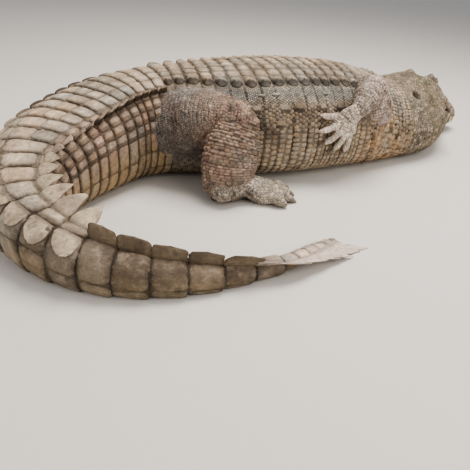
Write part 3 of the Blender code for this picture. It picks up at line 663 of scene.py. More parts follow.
trunkPitch = 0.0530
trunkEdges = np.arange(tailRoot - trunkPitch * 19, tailRoot - 1e-6, trunkPitch)
ringEdges = np.concatenate([trunkEdges, tailRings()])
tailEdges = tailRings()


def hipShare(owner, s, v):
    # Where the body is covered by the fine skin of the hip: 1 there and 0 elsewhere.
    a = np.abs(v)
    along = within(s - tailRoot, (-0.235, -0.19), (-0.012, -0.002))
    return along * within(a, (0.262, 0.282), (0.80, 0.88)) * (owner == 0)


def trunkColour(a, big, middle):
    return over(shade["back"] * 0.92,
                ("grey", softStep(0.48, 0.74, big) * 0.7),
                ("flank", softStep(0.48, 0.68, middle) * 0.60),
                ("blue", bell(a, 0.295, 0.05) * 0.8),
                ("flank", softStep(0.31, 0.37, a + 0.06 * (middle - 0.5)) * 0.75),
                ("dark", softStep(0.52, 0.70, middle) * bell(a, 0.42, 0.07) * 0.8),
                ("lowFlank", softStep(0.42, 0.54, a + 0.16 * (big - 0.5)) * 0.9),
                ("flank", softStep(0.55, 0.75, middle) * softStep(0.42, 0.52, a) * 0.35),
                ("belly", softStep(0.66, 0.84, a)))


def tailColour(t, v, big, middle, small):
    # Grey outside the ridge, brown inside it, painted shade on the low end, and painted light on its tip's
    # upturned side.
    a = np.abs(v)
    inner = over("inner", ("pink", softStep(0.50, 0.80, middle) * 0.35),
                 ("dark", softStep(0.55, 0.80, big) * 0.35),
                 ("ochre", softStep(0.42, 0.60, a + 0.10 * (middle - 0.5)) * 0.9),
                 ("belly", softStep(0.78, 0.92, a)))
    outer = over("back", ("grey", softStep(0.45, 0.80, big) * 0.6),
                 ("flank", softStep(0.50, 0.72, middle) * 0.45),
                 ("pale", softStep(0.60, 0.85, small) * 0.35), ("flank", softStep(0.50, 0.62, a) * 0.5),
                 ("belly", softStep(0.74, 0.90, a)))
    # The low end's dark side is painted shade under the overhanging crest, over its olive and brown.
    low = over(shade["tailShade"] * 1.3, ("grey", softStep(0.35, 0.80, middle) * 0.30),
               ("olive", softStep(0.20, 0.60, a + 0.30 * (big - 0.5)) * 0.80),
               ("flank", softStep(0.50, 0.75, middle) * 0.55))
    low = low * (0.66 + 0.16 * softStep(0.50, 0.72, middle))[:, None]
    # Painted light on the upturned side of the tail's tip, and painted shade on the rest of the tip.
    litTip = over(shade["pale"] * 1.15, ("pink", 0.30 + 0.4 * (middle - 0.5)))
    tip = over(shade["flank"] * 0.7, ("tailShade", softStep(0.3, 0.7, middle)),
               (litTip, softStep(0.10, 0.0, v) * softStep(1.60, 1.70, t)))
    ridge = np.interp(t, [0, 0.3, 0.6, 0.8, 1.12], [0.19, 0.19, 0.15, 0.13, 0.08])
    return over(outer, (inner, softStep(0.0, 0.03, -v - ridge)),
                (low, softStep(0.86, 1.00, t) * softStep(-0.05, 0.05, v)),
                (tip, softStep(1.5, 1.7, t) * 0.9))


def frontColour(s, a, big, middle, small):
    # The head, and the neck with its orange throat.
    throat = over("bead", ("grey", softStep(0.45, 0.75, middle) * 0.5), ("belly", softStep(0.74, 0.88, a)))
    neck = over("back", ("grey", softStep(0.3, 0.6, middle)), (throat, softStep(0.34, 0.44, a)))
    jowl = over("jowl", ("grey", softStep(0.45, 0.75, big) * 0.8),
                ("green", bell(s, 0.50, 0.05) * softStep(0.35, 0.6, middle) * 0.7),
                ("pale", softStep(0.52, 0.78, small) * bell(a, 0.46, 0.16) * 0.6),
                ("pink", bell(s, 0.40, 0.055) * bell(a, 0.24, 0.10) * 0.7))
    return over(jowl * 0.90, ("dark", softStep(0.62, 0.84, middle) * 0.45),
                ("belly", softStep(0.72, 0.86, a)), (neck, softStep(0.665, 0.715, s)))


def limbColour(names, hip, s, big, middle):
    has = lambda *words: np.any([np.char.find(names, word) > 0 for word in words], axis=0)[:, None]
    limb = over(np.where(has("arm"), shade["arm"], shade["leg"]),
                ("pink", softStep(0.45, 0.75, middle) * 0.6), ("grey", softStep(0.50, 0.80, big) * 0.6))
    hand = over("arm", ("pale", softStep(0.3, 0.7, middle))) * 1.40
    foot = over("grey", ("pale", softStep(0.45, 0.8, middle) * 0.6)) * 1.25
    limb = np.where(has("arm_toe", "arm_palm"), hand, np.where(has("leg_toe", "leg_palm"), foot, limb))
    thigh = over(hip, (limb, 0.25 + 0.75 * softStep(0.12, 0.36, s + 0.14 * (big - 0.5))))
    return over(np.where(has("leg_upper"), thigh, limb), ("dark", softStep(0.66, 0.88, middle) * 0.40))


def hideColour(owner, s, v, points):
    # The hide's colour at places on the charts, before painted shade is laid into its grooves.
    big, middle = noiseAt(points, 0.16, 3), noiseAt(points, 0.045, 5)
    small, fine = noiseAt(points, 0.016, 8), noiseAt(points, 0.007, 9)
    a, t = np.abs(v), s - tailRoot
    body = over(trunkColour(a, big, middle),
                (tailColour(t, v, big, middle, small), softStep(-0.02, 0.05, t)))
    body = over(frontColour(s, a, big, middle, small), (body, softStep(0.86, 0.96, s)))
    hip = over("thigh", ("pale", softStep(0.60, 0.90, fine) * 0.35))
    hip = over(hip * (0.66 + 0.34 * softStep(0.34, 0.50, a))[:, None],
               ("dark", softStep(0.50, 0.75, middle) * 0.25))
    hip = hip * np.array([0.96, 1.0, 1.06])
    names = np.array([chart.name for chart in charts])[owner]
    colour = np.where((owner == 0)[:, None], body, limbColour(names, hip, s, big, middle))
    # The grey of the hip spreads over the flank round the root of the leg.
    flank = over(hip, ("olive", softStep(0.52, 0.74, a) * 0.7))
    colour = over(colour, (flank, hipShare(owner, s, v)))
    return colour * (0.74 + 0.34 * small + 0.18 * fine)[:, None]


# Places on the head are distance ahead of the skull's back, distance from its middle, and height.
ear = {"place": (0.004, 0.118, 0.287), "size": (0.024, 0.030, 0.020)}
nostril = {"place": (0.604, 0.017), "size": (0.008, 0.0055), "deep": 0.008, "rim": 0.0025}
# The folds between jowl and neck: distance from the snout, width and depth. Those in front of the ear:
# distance ahead of the skull's back, and depth.
neckFolds = [(0.712, 0.013, 0.014), (0.738, 0.007, 0.008), (0.762, 0.007, 0.007),
             (0.792, 0.008, 0.007), (0.830, 0.008, 0.008), (0.872, 0.014, 0.010)]
templeFolds = [(0.175, 0.0077), (0.152, 0.0063), (0.196, 0.0049)]


def earPits(points):
    # The slit of each ear, under its flap behind the eye: 1 inside and 0 outside.
    along, side, z = headFrame(points)
    pits = np.zeros(len(points))
    for sign in (-1, 1):
        offset = np.stack([along, side * sign, z]) - np.array(ear["place"])[:, None]
        gap = np.linalg.norm(offset / np.array(ear["size"])[:, None], axis=0)
        pits = np.maximum(pits, np.exp(-(gap / 0.9) ** 6))
    return pits


# Raises the groove mask, which sets painted shade, to at least an amount.
def deepen(grooveShade, amount):
    np.maximum(grooveShade, amount, out=grooveShade)


def foldBody(out, grooveShade, owner, s, v, points):
    # Lines between the rings of scales, deep folds between jowl and neck, and shallower ones behind them.
    # The lines and the folds also get painted shade in their grooves.
    a, onBody = np.abs(v), owner == 0
    wave = 0.010 * (noiseAt(points, 0.09, 11) - 0.5)
    gap = np.abs((s + wave)[:, None] - ringEdges[None]).min(1)
    rings = (onBody & (s > 0.90)) * (1 - hipShare(owner, s, v))
    lineDepth = np.where(s > tailRoot - 0.02, 0.0022, 0.003)
    out -= rings * lineDepth * np.exp(-(gap / 0.005) ** 2)
    deepen(grooveShade, rings * np.exp(-(gap / 0.004) ** 2) * (a < 0.8))
    reach = within(a, (0.22, 0.34), (0.80, 0.95)) * (0.65 + 0.4 * noiseAt(points, 0.05, 21))
    bend = s + 0.05 * (a - 0.45) + 0.012 * (noiseAt(points, 0.06, 13) - 0.5)
    for place, width, depth in neckFolds:
        line = np.exp(-((bend - place) / width) ** 2) * reach * onBody
        out -= depth * line
        deepen(grooveShade, line * 0.9)
    swell = np.sin((bend - 0.712) / 0.030 * math.pi) * reach * (s > 0.69) * (s < 0.90) * onBody
    out += 0.003 * swell


def shapeHead(out, grooveShade, owner, s, v, points):
    # The lips, the nostrils, the wrinkles and folds of the jowl, the lids and the ears.
    # The mouth line, the nostril holes, the wrinkles, the ring round each eye, the ear slits and the temple
    # folds get painted shade.
    along, side, z = headFrame(points)
    a, head = np.abs(v), (owner == 0) & (s < 0.70)
    gapHeight = z - mouthHeight(along)
    lips = head & (along > 0.150) & (a > 0.12)
    line = np.exp(-(gapHeight / 0.0058) ** 2) * lips * softStep(0.150, 0.175, along)
    out -= 0.012 * line
    out -= 0.005 * lips * (gapHeight < 0) * np.exp(-(gapHeight / 0.045) ** 2) * softStep(0.170, 0.230, along)
    (ahead, apart), (long, wide) = nostril["place"], nostril["size"]
    for sign in (-1, 1):
        hole = bell(along, ahead, long) * bell(side, sign * apart, wide) * head * (z > 0.11)
        rimmed = bell(np.hypot((along - ahead) / 1.3, side - sign * apart), 0.012, 0.004) * head * (z > 0.11)
        out += nostril["rim"] * rimmed - nostril["deep"] * hole
        deepen(grooveShade, hole)
    out += 0.0045 * np.exp(-((gapHeight - 0.014) / 0.009) ** 2) * lips
    lumps, bumps = noiseAt(points, 0.040, 23) - 0.5, noiseAt(points, 0.017, 25) - 0.5
    out += head * (0.005 * lumps + 0.0030 * bumps * (along > 0.10))
    deepen(grooveShade, line)
    wrinkle = np.sin(s * 260 + 9 * noiseAt(points, 0.05, 17)) * within(a, (0.42, 0.52), (0.76, 0.86))
    out += 0.0024 * wrinkle * head * softStep(0.42, 0.50, s)
    deepen(grooveShade, 0.70 * softStep(0.4, 1.0, -wrinkle) * head * softStep(0.42, 0.50, s))
    # Each eye lies in a ring of lids, with a hollow below it and a ridge running forward to the snout.
    for sign, centre in zip((-1, 1), eyes):
        gap = np.linalg.norm(points - centre, axis=1)
        ahead, outward = along - eyePlace[0], side * sign
        out += 0.006 * bell(gap, 0.035, 0.008) * head
        out -= 0.011 * bell(ahead, 0.005, 0.060) * bell(z, 0.280, 0.017) * head * (outward > 0.08)
        ridge = outward - eyePlace[1] + 0.20 * np.clip(ahead, 0, 0.2)
        out += 0.007 * bell(ridge, 0.0, 0.011) * within(ahead, (0.03, 0.06), (0.15, 0.24)) * head
        deepen(grooveShade, 0.55 * bell(gap, 0.047, 0.0035) * head)
    pit = earPits(points) * head
    out -= 0.020 * pit
    deepen(grooveShade, pit)
    flapRim = bell(along, 0.004, 0.034) * bell(np.abs(side), 0.112, 0.024) * bell(z, 0.312, 0.008)
    out += 0.006 * flapRim * head
    for sign in (-1, 1):
        for place, drop in templeFolds:
            fold = bell(along + 0.10 * (z - 0.24), place, 0.0042) * within(z, (0.20, 0.215), (0.262, 0.280))
            fold = fold * head * (side * sign > 0.10)
            out -= drop * fold
            deepen(grooveShade, fold * 0.85)


def wrinkleLimbs(out, grooveShade, owner, s, v, points):
    # The limbs wrinkle round their bends and along the hands and feet.
    # The wrinkles, and the folds over the hip, get painted shade in their grooves.
    ripple = noiseAt(points, 0.035, 19)
    for index, chart in enumerate(charts):
        mine = owner == index
        if index == 0 or not mine.any():
            continue
        length = chart.reach[-1]
        if "toe" in chart.name:
            rings = np.sin(s * 2 * math.pi / 0.0105 + ripple * 2)
            out[mine] -= 0.0007 * softStep(0.3, 1.0, -rings)[mine]
            grooveShade[mine] = np.maximum(grooveShade, 0.5 * softStep(0.55, 1.0, -rings))[mine]
            continue
        spacing = 0.013 if "palm" in chart.name else 0.0165
        rings = np.sin(s * 2 * math.pi / spacing + 7.0 * ripple + 1.6 * np.cos(v * math.pi))
        nearBend = bell(s, length if "upper" in chart.name else 0.02, 0.12)
        strength = (0.45 + 0.55 * nearBend) * (0.45 + ripple)
        strength = np.where("palm" in chart.name, 0.55, strength)
        out[mine] += (0.0042 * strength * rings)[mine]
        grooveShade[mine] = np.maximum(grooveShade, 0.95 * strength * softStep(0.35, 0.95, -rings))[mine]
    # Soft folds run over the hip, round the root of the hind leg.
    hipGap = np.hypot(s - (tailRoot - 0.13), (np.abs(v) - 0.50) * 0.75)
    arcs = np.sin(hipGap * 2 * math.pi / 0.017 + 5 * ripple)
    around = hipShare(owner, s, v) * (0.4 + 0.8 * ripple)
    out += 0.0030 * arcs * around
    deepen(grooveShade, 0.9 * softStep(0.3, 0.95, -arcs) * around)


def relief(owner, s, v, points):
    # How far the skin stands out from, or lies in below, the smooth shape, and the painted shade of its
    # grooves.
    out, grooveShade = np.zeros(len(s)), np.zeros(len(s))
    for change in (foldBody, shapeHead, wrinkleLimbs):
        change(out, grooveShade, owner, s, v, points)
    return out, grooveShade


def skinUV(item, owner, s, v):
    # Each chart has its own block of the map; a face is laid out from its middle so that none is torn.
    faces = facesOf(item, 3)
    points = pointsOf(item)
    lead = faces[:, 0]
    uv = np.empty((len(faces), 3, 2))
    for index, chart in enumerate(charts):
        mine = np.nonzero(owner[lead] == index)[0]
        if not len(mine):
            continue
        s0, v0 = s[lead[mine]], v[lead[mine]]
        nudge = 0.004
        base = chart.place(s0, v0)
        alongWay = chart.place(s0 + nudge, v0) - chart.place(s0 - nudge, v0)
        aroundWay = chart.place(s0, v0 + nudge) - chart.place(s0, v0 - nudge)
        offset = points[faces[mine]] - base[:, None]
        for way in (alongWay, aroundWay):
            way /= np.maximum((way ** 2).sum(1), 1e-12)[:, None] / (2 * nudge)
        ds = np.clip((offset * alongWay[:, None]).sum(2), -0.02, 0.02)
        dv = np.clip((offset * aroundWay[:, None]).sum(2), -0.1, 0.1)
        uv[mine] = mapPlace(index, s0[:, None] + ds, v0[:, None] + dv)
    return uv


mapBlocks = {}


def layOutMap():
    # The body takes the upper part of the map, and the limbs' charts stand in rows below it.
    mapBlocks[0] = (0.01, 0.42, 0.98, 0.57)
    size = 0.98 / 10
    for index in range(1, len(charts)):
        column, row = (index - 1) % 10, (index - 1) // 10
        mapBlocks[index] = (0.01 + column * size, 0.01 + row * 0.133, size * 0.92, 0.125)


def mapPlace(index, s, v):
    left, low, width, height = mapBlocks[index]
    share = np.clip(s / charts[index].reach[-1], 0, 1)
    return np.stack([left + width * share, low + height * np.clip((v + 1) / 2, 0, 1)], axis=-1)


def setAttribute(shape, name, kind, values):
    attribute = shape.attributes.new(name, kind, "POINT")
    if kind == "FLOAT_COLOR":
        values = np.concatenate([values, np.ones((len(values), 1))], axis=1)
        attribute.data.foreach_set("color", values.astype(np.float32).ravel())
    else:
        attribute.data.foreach_set("value", values.astype(np.float32))


def layAttribute(shape, along, around):
    # Distances along and round the body, for streaks that follow it.
    attribute = shape.attributes.new("lay", "FLOAT_VECTOR", "POINT")
    attribute.data.foreach_set("vector", np.stack([along, around, along * 0], 1).astype(np.float32).ravel())


def setUV(shape, uv):
    layer = shape.uv_layers.new(name="OFBake")
    layer.data.foreach_set("uv", uv.astype(np.float32).ravel())


def eyeWays(sign):
    # Where an eye looks, and the level and rising directions across its opening.
    ahead, left, up = (headPlace(*way) - headPlace(0, 0, 0) for way in ((1, 0, 0), (0, 1, 0), (0, 0, 1)))
    gaze = ahead * 0.22 + left * sign * 0.84 + up * 0.46
    gaze /= np.linalg.norm(gaze)
    level = ahead - gaze * (ahead @ gaze)
    level /= np.linalg.norm(level)
    rise = np.cross(gaze, level)
    rise *= np.sign(rise[2])
    return gaze, level, rise


def setEyes(points):
    # Opens the lids: the skin near an eye is moved straight toward or away from the eye's middle.
    for sign, centre in zip((-1, 1), eyes):
        gaze, level, rise = eyeWays(sign)
        offset = points - centre
        distance = np.linalg.norm(offset, axis=1)
        near = (distance < 0.060) & (distance > 1e-5)
        way = offset[near] / distance[near][:, None]
        across, upward, facing = way @ level, way @ rise, way @ gaze
        opening = np.hypot(across / 0.80, (upward + 0.02) / 0.56)
        lid = eyeRadius + 0.0028 - 0.0012 * bell(opening, 1.62, 0.12)
        inner = softStep(0.92, 1.06, opening)
        outer = softStep(1.35, 2.30 + 0.5 * (upward > 0), opening)
        target = (eyeRadius - 0.006) * (1 - inner) + lid * inner
        target = target * (1 - outer) + distance[near] * outer
        share = softStep(0.05, 0.30, facing) * (1 - softStep(0.036, 0.058, distance[near]))
        moved = distance[near] * (1 - share) + target * share
        points[near] = centre + way * moved[:, None]
    return points


layOutMap()
smoothPoints, smoothNormals = pointsOf(skin), normalsOf(skin)
raised, grooveShade = relief(owner, skinS, skinV, smoothPoints)
shaped = smoothPoints + smoothNormals * raised[:, None]
shaped = setEyes(shaped)
shaped[:, 2] = np.maximum(shaped[:, 2], 0.0022)
skin.data.vertices.foreach_set("co", shaped.astype(np.float32).ravel())
skin.modifiers.new("triangles", "TRIANGULATE")
applyAll(skin)
skinColour = hideColour(owner, skinS, skinV, shaped)
# The skin is darkened, and painted shade is laid into its grooves and hollows.
skinColour = over(skinColour * 0.62, ("grooveShade", grooveShade * 0.9))
setAttribute(skin.data, "tint", "FLOAT_COLOR", skinColour)
setUV(skin.data, skinUV(skin, owner, skinS, skinV))
skin.data.shade_smooth()
print("skin shaped", len(skin.data.polygons), "triangles")


# Each scale is a closed domed plate. A template has a number of sides, and the shares of its outline
# where the rings between its middle and its edge lie.
templates = {
    "small": (7, [0.70]), "medium": (12, [0.45, 0.80, 0.95]), "large": (16, [0.30, 0.60, 0.84, 0.96]),
    "wide": (28, [0.22, 0.45, 0.68, 0.86, 0.965]),
}
# A scale's rim and foot lie this far below the skin; large and wide scales differ less in brightness.
rimDepth, footDepth = -0.0022, -0.0034
toneSpread = {"large": 0.13, "wide": 0.07}


def templateMesh(kind):
    # Points of one scale as angle and share of its outline, and its triangles. The last ring is its foot.
    sides, rings = templates[kind]
    shares = rings + [1.0, 1.0]
    angle = np.tile(np.arange(sides) * 2 * math.pi / sides, len(shares))
    share = np.repeat(shares, sides)
    angle, share = np.concatenate([[0.0], angle, [0.0]]), np.concatenate([[0.0], share, [0.0]])
    under = np.zeros(len(share), bool)
    under[-(sides + 1):] = True
    ring, following = np.arange(sides), (np.arange(sides) + 1) % sides
    faces = [np.stack([np.zeros(sides, int), 1 + ring, 1 + following], 1)]
    for level in range(len(shares) - 1):
        a, b = 1 + level * sides, 1 + (level + 1) * sides
        faces.append(np.stack([a + ring, b + ring, b + following], 1))
        faces.append(np.stack([a + ring, b + following, a + following], 1))
    last = 1 + (len(shares) - 1) * sides
    faces.append(np.stack([np.full(sides, len(share) - 1), last + following, last + ring], 1))
    return angle, share, under, np.concatenate(faces)


# Dark paints shade on a scale's half toward the turn's sign; soft lessens painted shade between scales of a
# ring.
plainLook = {"power": 2.3, "height": 0.003, "keel": 0.0, "tilt": 0.0, "flat": 0.5, "tone": 1.0, "dark": 0.0,
             "soft": 0.0}


def batch(chart, s, v, halfS, halfV, **looks):
    count = len(s)
    made = {"chart": np.full(count, charts.index(chart)), "s": s, "v": v, "halfS": halfS, "halfV": halfV}
    for name, value in {**plainLook, **looks}.items():
        made[name] = np.broadcast_to(np.asarray(value, float), (count,)).copy()
    return made


def thinned(made, kept):
    return {key: value[kept] for key, value in made.items()}


def beads(chart, low, high, turns, size, cover=1.16, keep=None, scatter=0.15, variety=0.0, **looks):
    # Round scales in offset rows. Size is a number or a function of place; the turns are a (low, high) pair.
    sizeAt = size if callable(size) else (lambda s, v: np.full(np.shape(v), size))
    fine = np.linspace(*turns, 240)
    allS, allV = [], []
    s, row = low, 0
    while s < high:
        rateS, rateV = chart.rates(np.full(240, s), fine)
        pitch = sizeAt(np.full(240, s), fine)
        density = np.concatenate([[0.0], np.cumsum((rateV / pitch)[:-1] * np.diff(fine))])
        count = int(density[-1])
        if count > 0:
            goal = (np.arange(count) + 0.25 + 0.5 * (row % 2)) * density[-1] / count
            allV.append(np.interp(goal, density, fine))
            allS.append(np.full(count, s))
        s += 0.84 * float(np.mean(pitch)) / max(float(np.mean(rateS)), 0.3)
        row += 1
    s, v = np.concatenate(allS), np.concatenate(allV)
    rateS, rateV = chart.rates(s, v)
    pitch = sizeAt(s, v)
    s = s + chance.uniform(-scatter, scatter, len(s)) * pitch / rateS
    v = v + chance.uniform(-scatter, scatter, len(s)) * pitch / rateV
    grow = chance.uniform(0.94 - 0.5 * scatter, 1.06 + 0.4 * scatter, len(s)) * cover / 2
    chosen = np.ones(len(s), bool) if keep is None else keep(s, v)
    looks["tone"] = looks.get("tone", 1.0) * chance.normal(1.0, variety, len(s))
    made = batch(chart, s, v, grow * pitch / rateS, grow * pitch / rateV, **looks)
    return thinned(made, chosen)


def plates(chart, edges, cuts, fill=0.94, jitter=0.05, **looks):
    # Oblong scales in the rings between the edges; cuts gives the turns where the scales of a ring part.
    allS, allV, halfS, halfV = [], [], [], []
    for number, (first, second) in enumerate(zip(edges, edges[1:])):
        turns = np.asarray(cuts((first + second) / 2, number))
        middle = (turns[:-1] + turns[1:]) / 2
        width = np.diff(turns)
        allV.append(middle + chance.uniform(-jitter, jitter, len(middle)) * width)
        halfV.append(width / 2 * fill * chance.uniform(0.93, 1.03, len(middle)))
        shifted = chance.uniform(-jitter, jitter, len(middle)) * (second - first) * 0.6
        allS.append((first + second) / 2 + shifted)
        halfS.append((second - first) / 2 * fill * chance.uniform(0.95, 1.02, len(middle)))
    s, v, halfS, halfV = (np.concatenate(part) for part in (allS, allV, halfS, halfV))
    values = {name: (value(s, v) if callable(value) else value) for name, value in looks.items()}
    return batch(chart, s, v, halfS, halfV, **values)


def joined(batches):
    return {key: np.concatenate([item[key] for item in batches]) for key in batches[0]}


def onCharts(chartOf, s, v):
    # Points on the charts and the outward directions there.
    places, ups = np.empty((*s.shape, 3)), np.empty((*s.shape, 3))
    for index in np.unique(chartOf):
        mine = chartOf == index
        places[mine] = charts[index].place(s[mine], v[mine])
        ups[mine] = charts[index].look(charts[index].normals, s[mine], v[mine])
    return places, ups


def onSkin(data):
    # The scales that stand on skin of their own chart and clear of the ears, and where they stand.
    centres, ups = onCharts(data["chart"], data["s"], data["v"])
    found = [skinTree.find(point) for point in centres]
    number, distance = np.array([item[1] for item in found]), np.array([item[2] for item in found])
    keep = (owner[number] == data["chart"]) | (distance < 0.006)
    keep &= distance < 0.030
    keep &= (ups * skinNormals[number]).sum(1) > 0.2
    keep &= earPits(centres) < 0.35
    data = {key: value[keep] for key, value in data.items()}
    return data, centres[keep], number[keep], skinNormals[number[keep]] - ups[keep]


def scaleShape(data, kind):
    # The corners of each scale in units of its half size, how high they stand, the keel's share and faces.
    angle, share, under, faces = templateMesh(kind)
    count, corners, sides = len(data["s"]), len(angle), templates[kind][0]
    wobble = 1 + 0.07 * (chance.random((count, corners)) - 0.5) * (share < 1) * (share > 0)
    rim = 1 + 0.10 * (chance.random((count, sides)) - 0.5)
    rimAt = np.ones((count, corners))
    rimAt[:, 1:-1] = np.tile(rim, corners // sides)[:, :corners - 2]
    column = {name: data[name][:, None] for name in ("power", "flat", "height", "keel", "tilt")}
    cosine, sine = np.cos(angle)[None], np.sin(angle)[None]
    outline = np.abs(cosine) ** column["power"] + np.abs(sine) ** column["power"] + 1e-9
    outline = outline ** (-1 / column["power"])
    x, y = outline * cosine * share * wobble * rimAt, outline * sine * share * wobble * rimAt
    turn = chance.normal(0, 0.05, count)[:, None]
    x, y = x * np.cos(turn) - y * np.sin(turn), x * np.sin(turn) + y * np.cos(turn)
    brink = 16 if kind == "wide" else 6
    dome = column["flat"] * (1 - share[None] ** brink) + (1 - column["flat"]) * (1 - share[None] ** 2)
    keelLine = np.exp(-(y / 0.24) ** 2) * (1 - share[None] ** 3)
    lift = (column["height"] * dome + column["keel"] * keelLine * (0.75 + 0.35 * x)
            + column["tilt"] * x * (1 - share[None] ** (brink - 2)))
    lift = np.where(share[None] >= 1, rimDepth, lift)
    lift = np.where(under[None], footDepth, lift)
    return x, y, share, lift, keelLine, faces


def scaleTint(colour, data, x, y, share, keelLine, spread):
    # Keels and crowns paler by wear and painted highlight; painted shade on rims, feet and dark halves.
    warm = chance.normal(0, 0.04, (len(spread), 1)) * np.array([1.0, 0.1, -0.9])
    colour = np.clip(colour * (spread[:, None] * (1 + warm))[:, None], 0.01, 0.9)
    dark = data["dark"][:, None]
    onSide = np.abs(y) ** 4 / (np.abs(x) ** 4 + np.abs(y) ** 4 + 1e-9) * data["soft"][:, None]
    # Painted shade darkens each rim and foot, less along the sides where soft is set.
    rimShade = np.clip((share - 0.72) / 0.28, 0, 1)[None] * (1 - 0.75 * onSide)
    edge = np.where(share[None] >= 1, 0.30 + 0.5 * onSide, 1.0 - 0.45 * rimShade)
    # Keels and crowns are paler: partly wear, partly painted highlight.
    wearHighlightShade = 1 + 0.22 * keelLine * (data["keel"][:, None] > 0) + 0.10 * (1 - share[None])
    # The dark half is painted shade, as under an overhanging keel.
    below = np.sign(dark) * y
    wearHighlightShade = wearHighlightShade * (1 - np.abs(dark) * softStep(0.0, 0.16, below) * (1 - 0.55 * softStep(0.45, 0.9, below)))
    tint = colour * (edge * wearHighlightShade)[:, :, None]
    # The sunken foot takes the painted shade of the groove colour.
    sunken = (share >= 1)[None, :, None] * (1 - onSide)[:, :, None]
    return np.clip((tint * (1 - 0.5 * sunken) + shade["grooveShade"] * 0.6 * sunken).reshape(-1, 3), 0, 1)


def scaleMap(data, x, y):
    # Each scale has a patch of the map round its own place.
    uv = np.empty((*x.shape, 2))
    for index in np.unique(data["chart"]):
        mine = data["chart"] == index
        width, height = mapBlocks[index][2:]
        root = mapPlace(index, data["s"][mine], data["v"][mine])
        spanU = np.maximum(data["halfS"][mine] * 0.9 / charts[index].reach[-1] * width, coat["patch"] / 2)
        spanV = np.maximum(data["halfV"][mine] * 0.9 / 2 * height, coat["patch"] / 2)
        uv[mine] = root[:, None] + np.stack([x[mine] * spanU[:, None], y[mine] * spanV[:, None]], -1)
    return uv.reshape(-1, 2)


def growScales(name, batches, kind):
    # One mesh of many scales: laid on the charts, drawn onto the skin, then raised off it.
    data, centres, number, lean = onSkin(joined(batches))
    x, y, share, lift, keelLine, faces = scaleShape(data, kind)
    count, corners = x.shape
    s, v = data["s"][:, None] + x * data["halfS"][:, None], data["v"][:, None] + y * data["halfV"][:, None]
    base, up = onCharts(data["chart"], s, v)
    up = up + lean[:, None]
    up /= np.linalg.norm(up, axis=2, keepdims=True)
    allFaces = (faces[None] + (np.arange(count) * corners)[:, None, None]).reshape(-1, 3)
    item = meshObject(name, base.reshape(-1, 3), allFaces)
    wrap = item.modifiers.new("wrap", "SHRINKWRAP")
    wrap.target, wrap.wrap_method = skin, "NEAREST_SURFACEPOINT"
    applyAll(item)
    settled = pointsOf(item) + up.reshape(-1, 3) * lift.reshape(-1, 1)
    settled[:, 2] = np.maximum(settled[:, 2], 0.0004)
    item.data.vertices.foreach_set("co", settled.astype(np.float32).ravel())
    if kind in ("large", "wide"):
        owners = np.repeat(data["chart"], corners)
        colour = hideColour(owners, s.ravel(), v.ravel(), base.reshape(-1, 3)).reshape(count, corners, 3)
    else:
        colour = hideColour(data["chart"], data["s"], data["v"], centres)
        # Small scales that sit in a groove take its painted shade.
        colour = over(colour, ("grooveShade", softStep(0.25, 1.0, grooveShade[number]) * 0.75))[:, None]
    spread = data["tone"] * chance.normal(1.0, toneSpread.get(kind, 0.15), count)
    setAttribute(item.data, "tint", "FLOAT_COLOR", scaleTint(colour, data, x, y, share, keelLine, spread))
    setUV(item.data, np.clip(scaleMap(data, x, y)[allFaces], 0, 1))
    if kind == "wide":
        layAttribute(item.data, s.ravel(), body.rates(s.ravel(), v.ravel())[1] * v.ravel())
    item.data.shade_smooth()
    print(name, count, "scales", len(item.data.polygons), "triangles")
    return item


def rowAt(rows, at):
    # A row of a table between those given.
    rows = np.array(rows)
    return [float(np.interp(at, rows[:, 0], rows[:, column])) for column in range(1, rows.shape[1])]


def widthAt(chart, s, v):
    # How long one unit of turn is at a place on a chart.
    return float(chart.rates(np.array([s]), np.array([v]))[1][0])


def evenCuts(low, high, at, s, pitch, least=2):
    # Turns that part a ring of the body into scales about as wide as the pitch.
    return np.linspace(low, high, max(least, round((high - low) * widthAt(body, s, at) / pitch)) + 1)


skinTree, skinNormals = treeOf(pointsOf(skin)), normalsOf(skin)


# The trunk: rows of scutes on the back, a row of tall ones at its edge, small scales and ovals on the
# flanks, and oblong ones that grow toward the belly. Strips: turn, width, length, tone, share kept, shift.
trunkRows = np.append(trunkEdges[trunkEdges > 0.875], tailRoot)
trunkLooks = {
    "back": {"fill": 0.965, "jitter": 0.03, "power": 3.4, "height": 0.0040, "keel": 0.0042, "tilt": 0.0026,
             "flat": 0.6, "soft": 0.35},
    "edge": {"fill": 0.92, "jitter": 0.03, "height": 0.010, "keel": 0.0075, "tilt": 0.0030, "flat": 0.45,
             "tone": 0.92},
    "fine": {"cover": 1.12, "height": 0.0019, "flat": 0.4, "power": 2.5},
    "flank": {"cover": 1.10, "height": 0.0028, "flat": 0.4, "power": 2.8, "tone": 0.95},
    "hip": {"scatter": 0.22, "variety": 0.05, "cover": 1.24, "height": 0.0008, "flat": 0.7},
    "strip": {"jitter": 0.08, "power": 2.9, "height": 0.0056, "keel": 0.0016, "tilt": 0.0012,
              "flat": 0.45},
    "low": {"fill": 0.93, "jitter": 0.10, "power": 3.2, "height": 0.0030, "flat": 0.7},
}
strips = [(0.300, 0.034, 0.62, 1.080, 0.40, 0.5), (0.362, 0.052, 0.88, 0.837, 0.86, 0.0),
          (0.428, 0.050, 0.84, 0.675, 0.55, 0.4)]


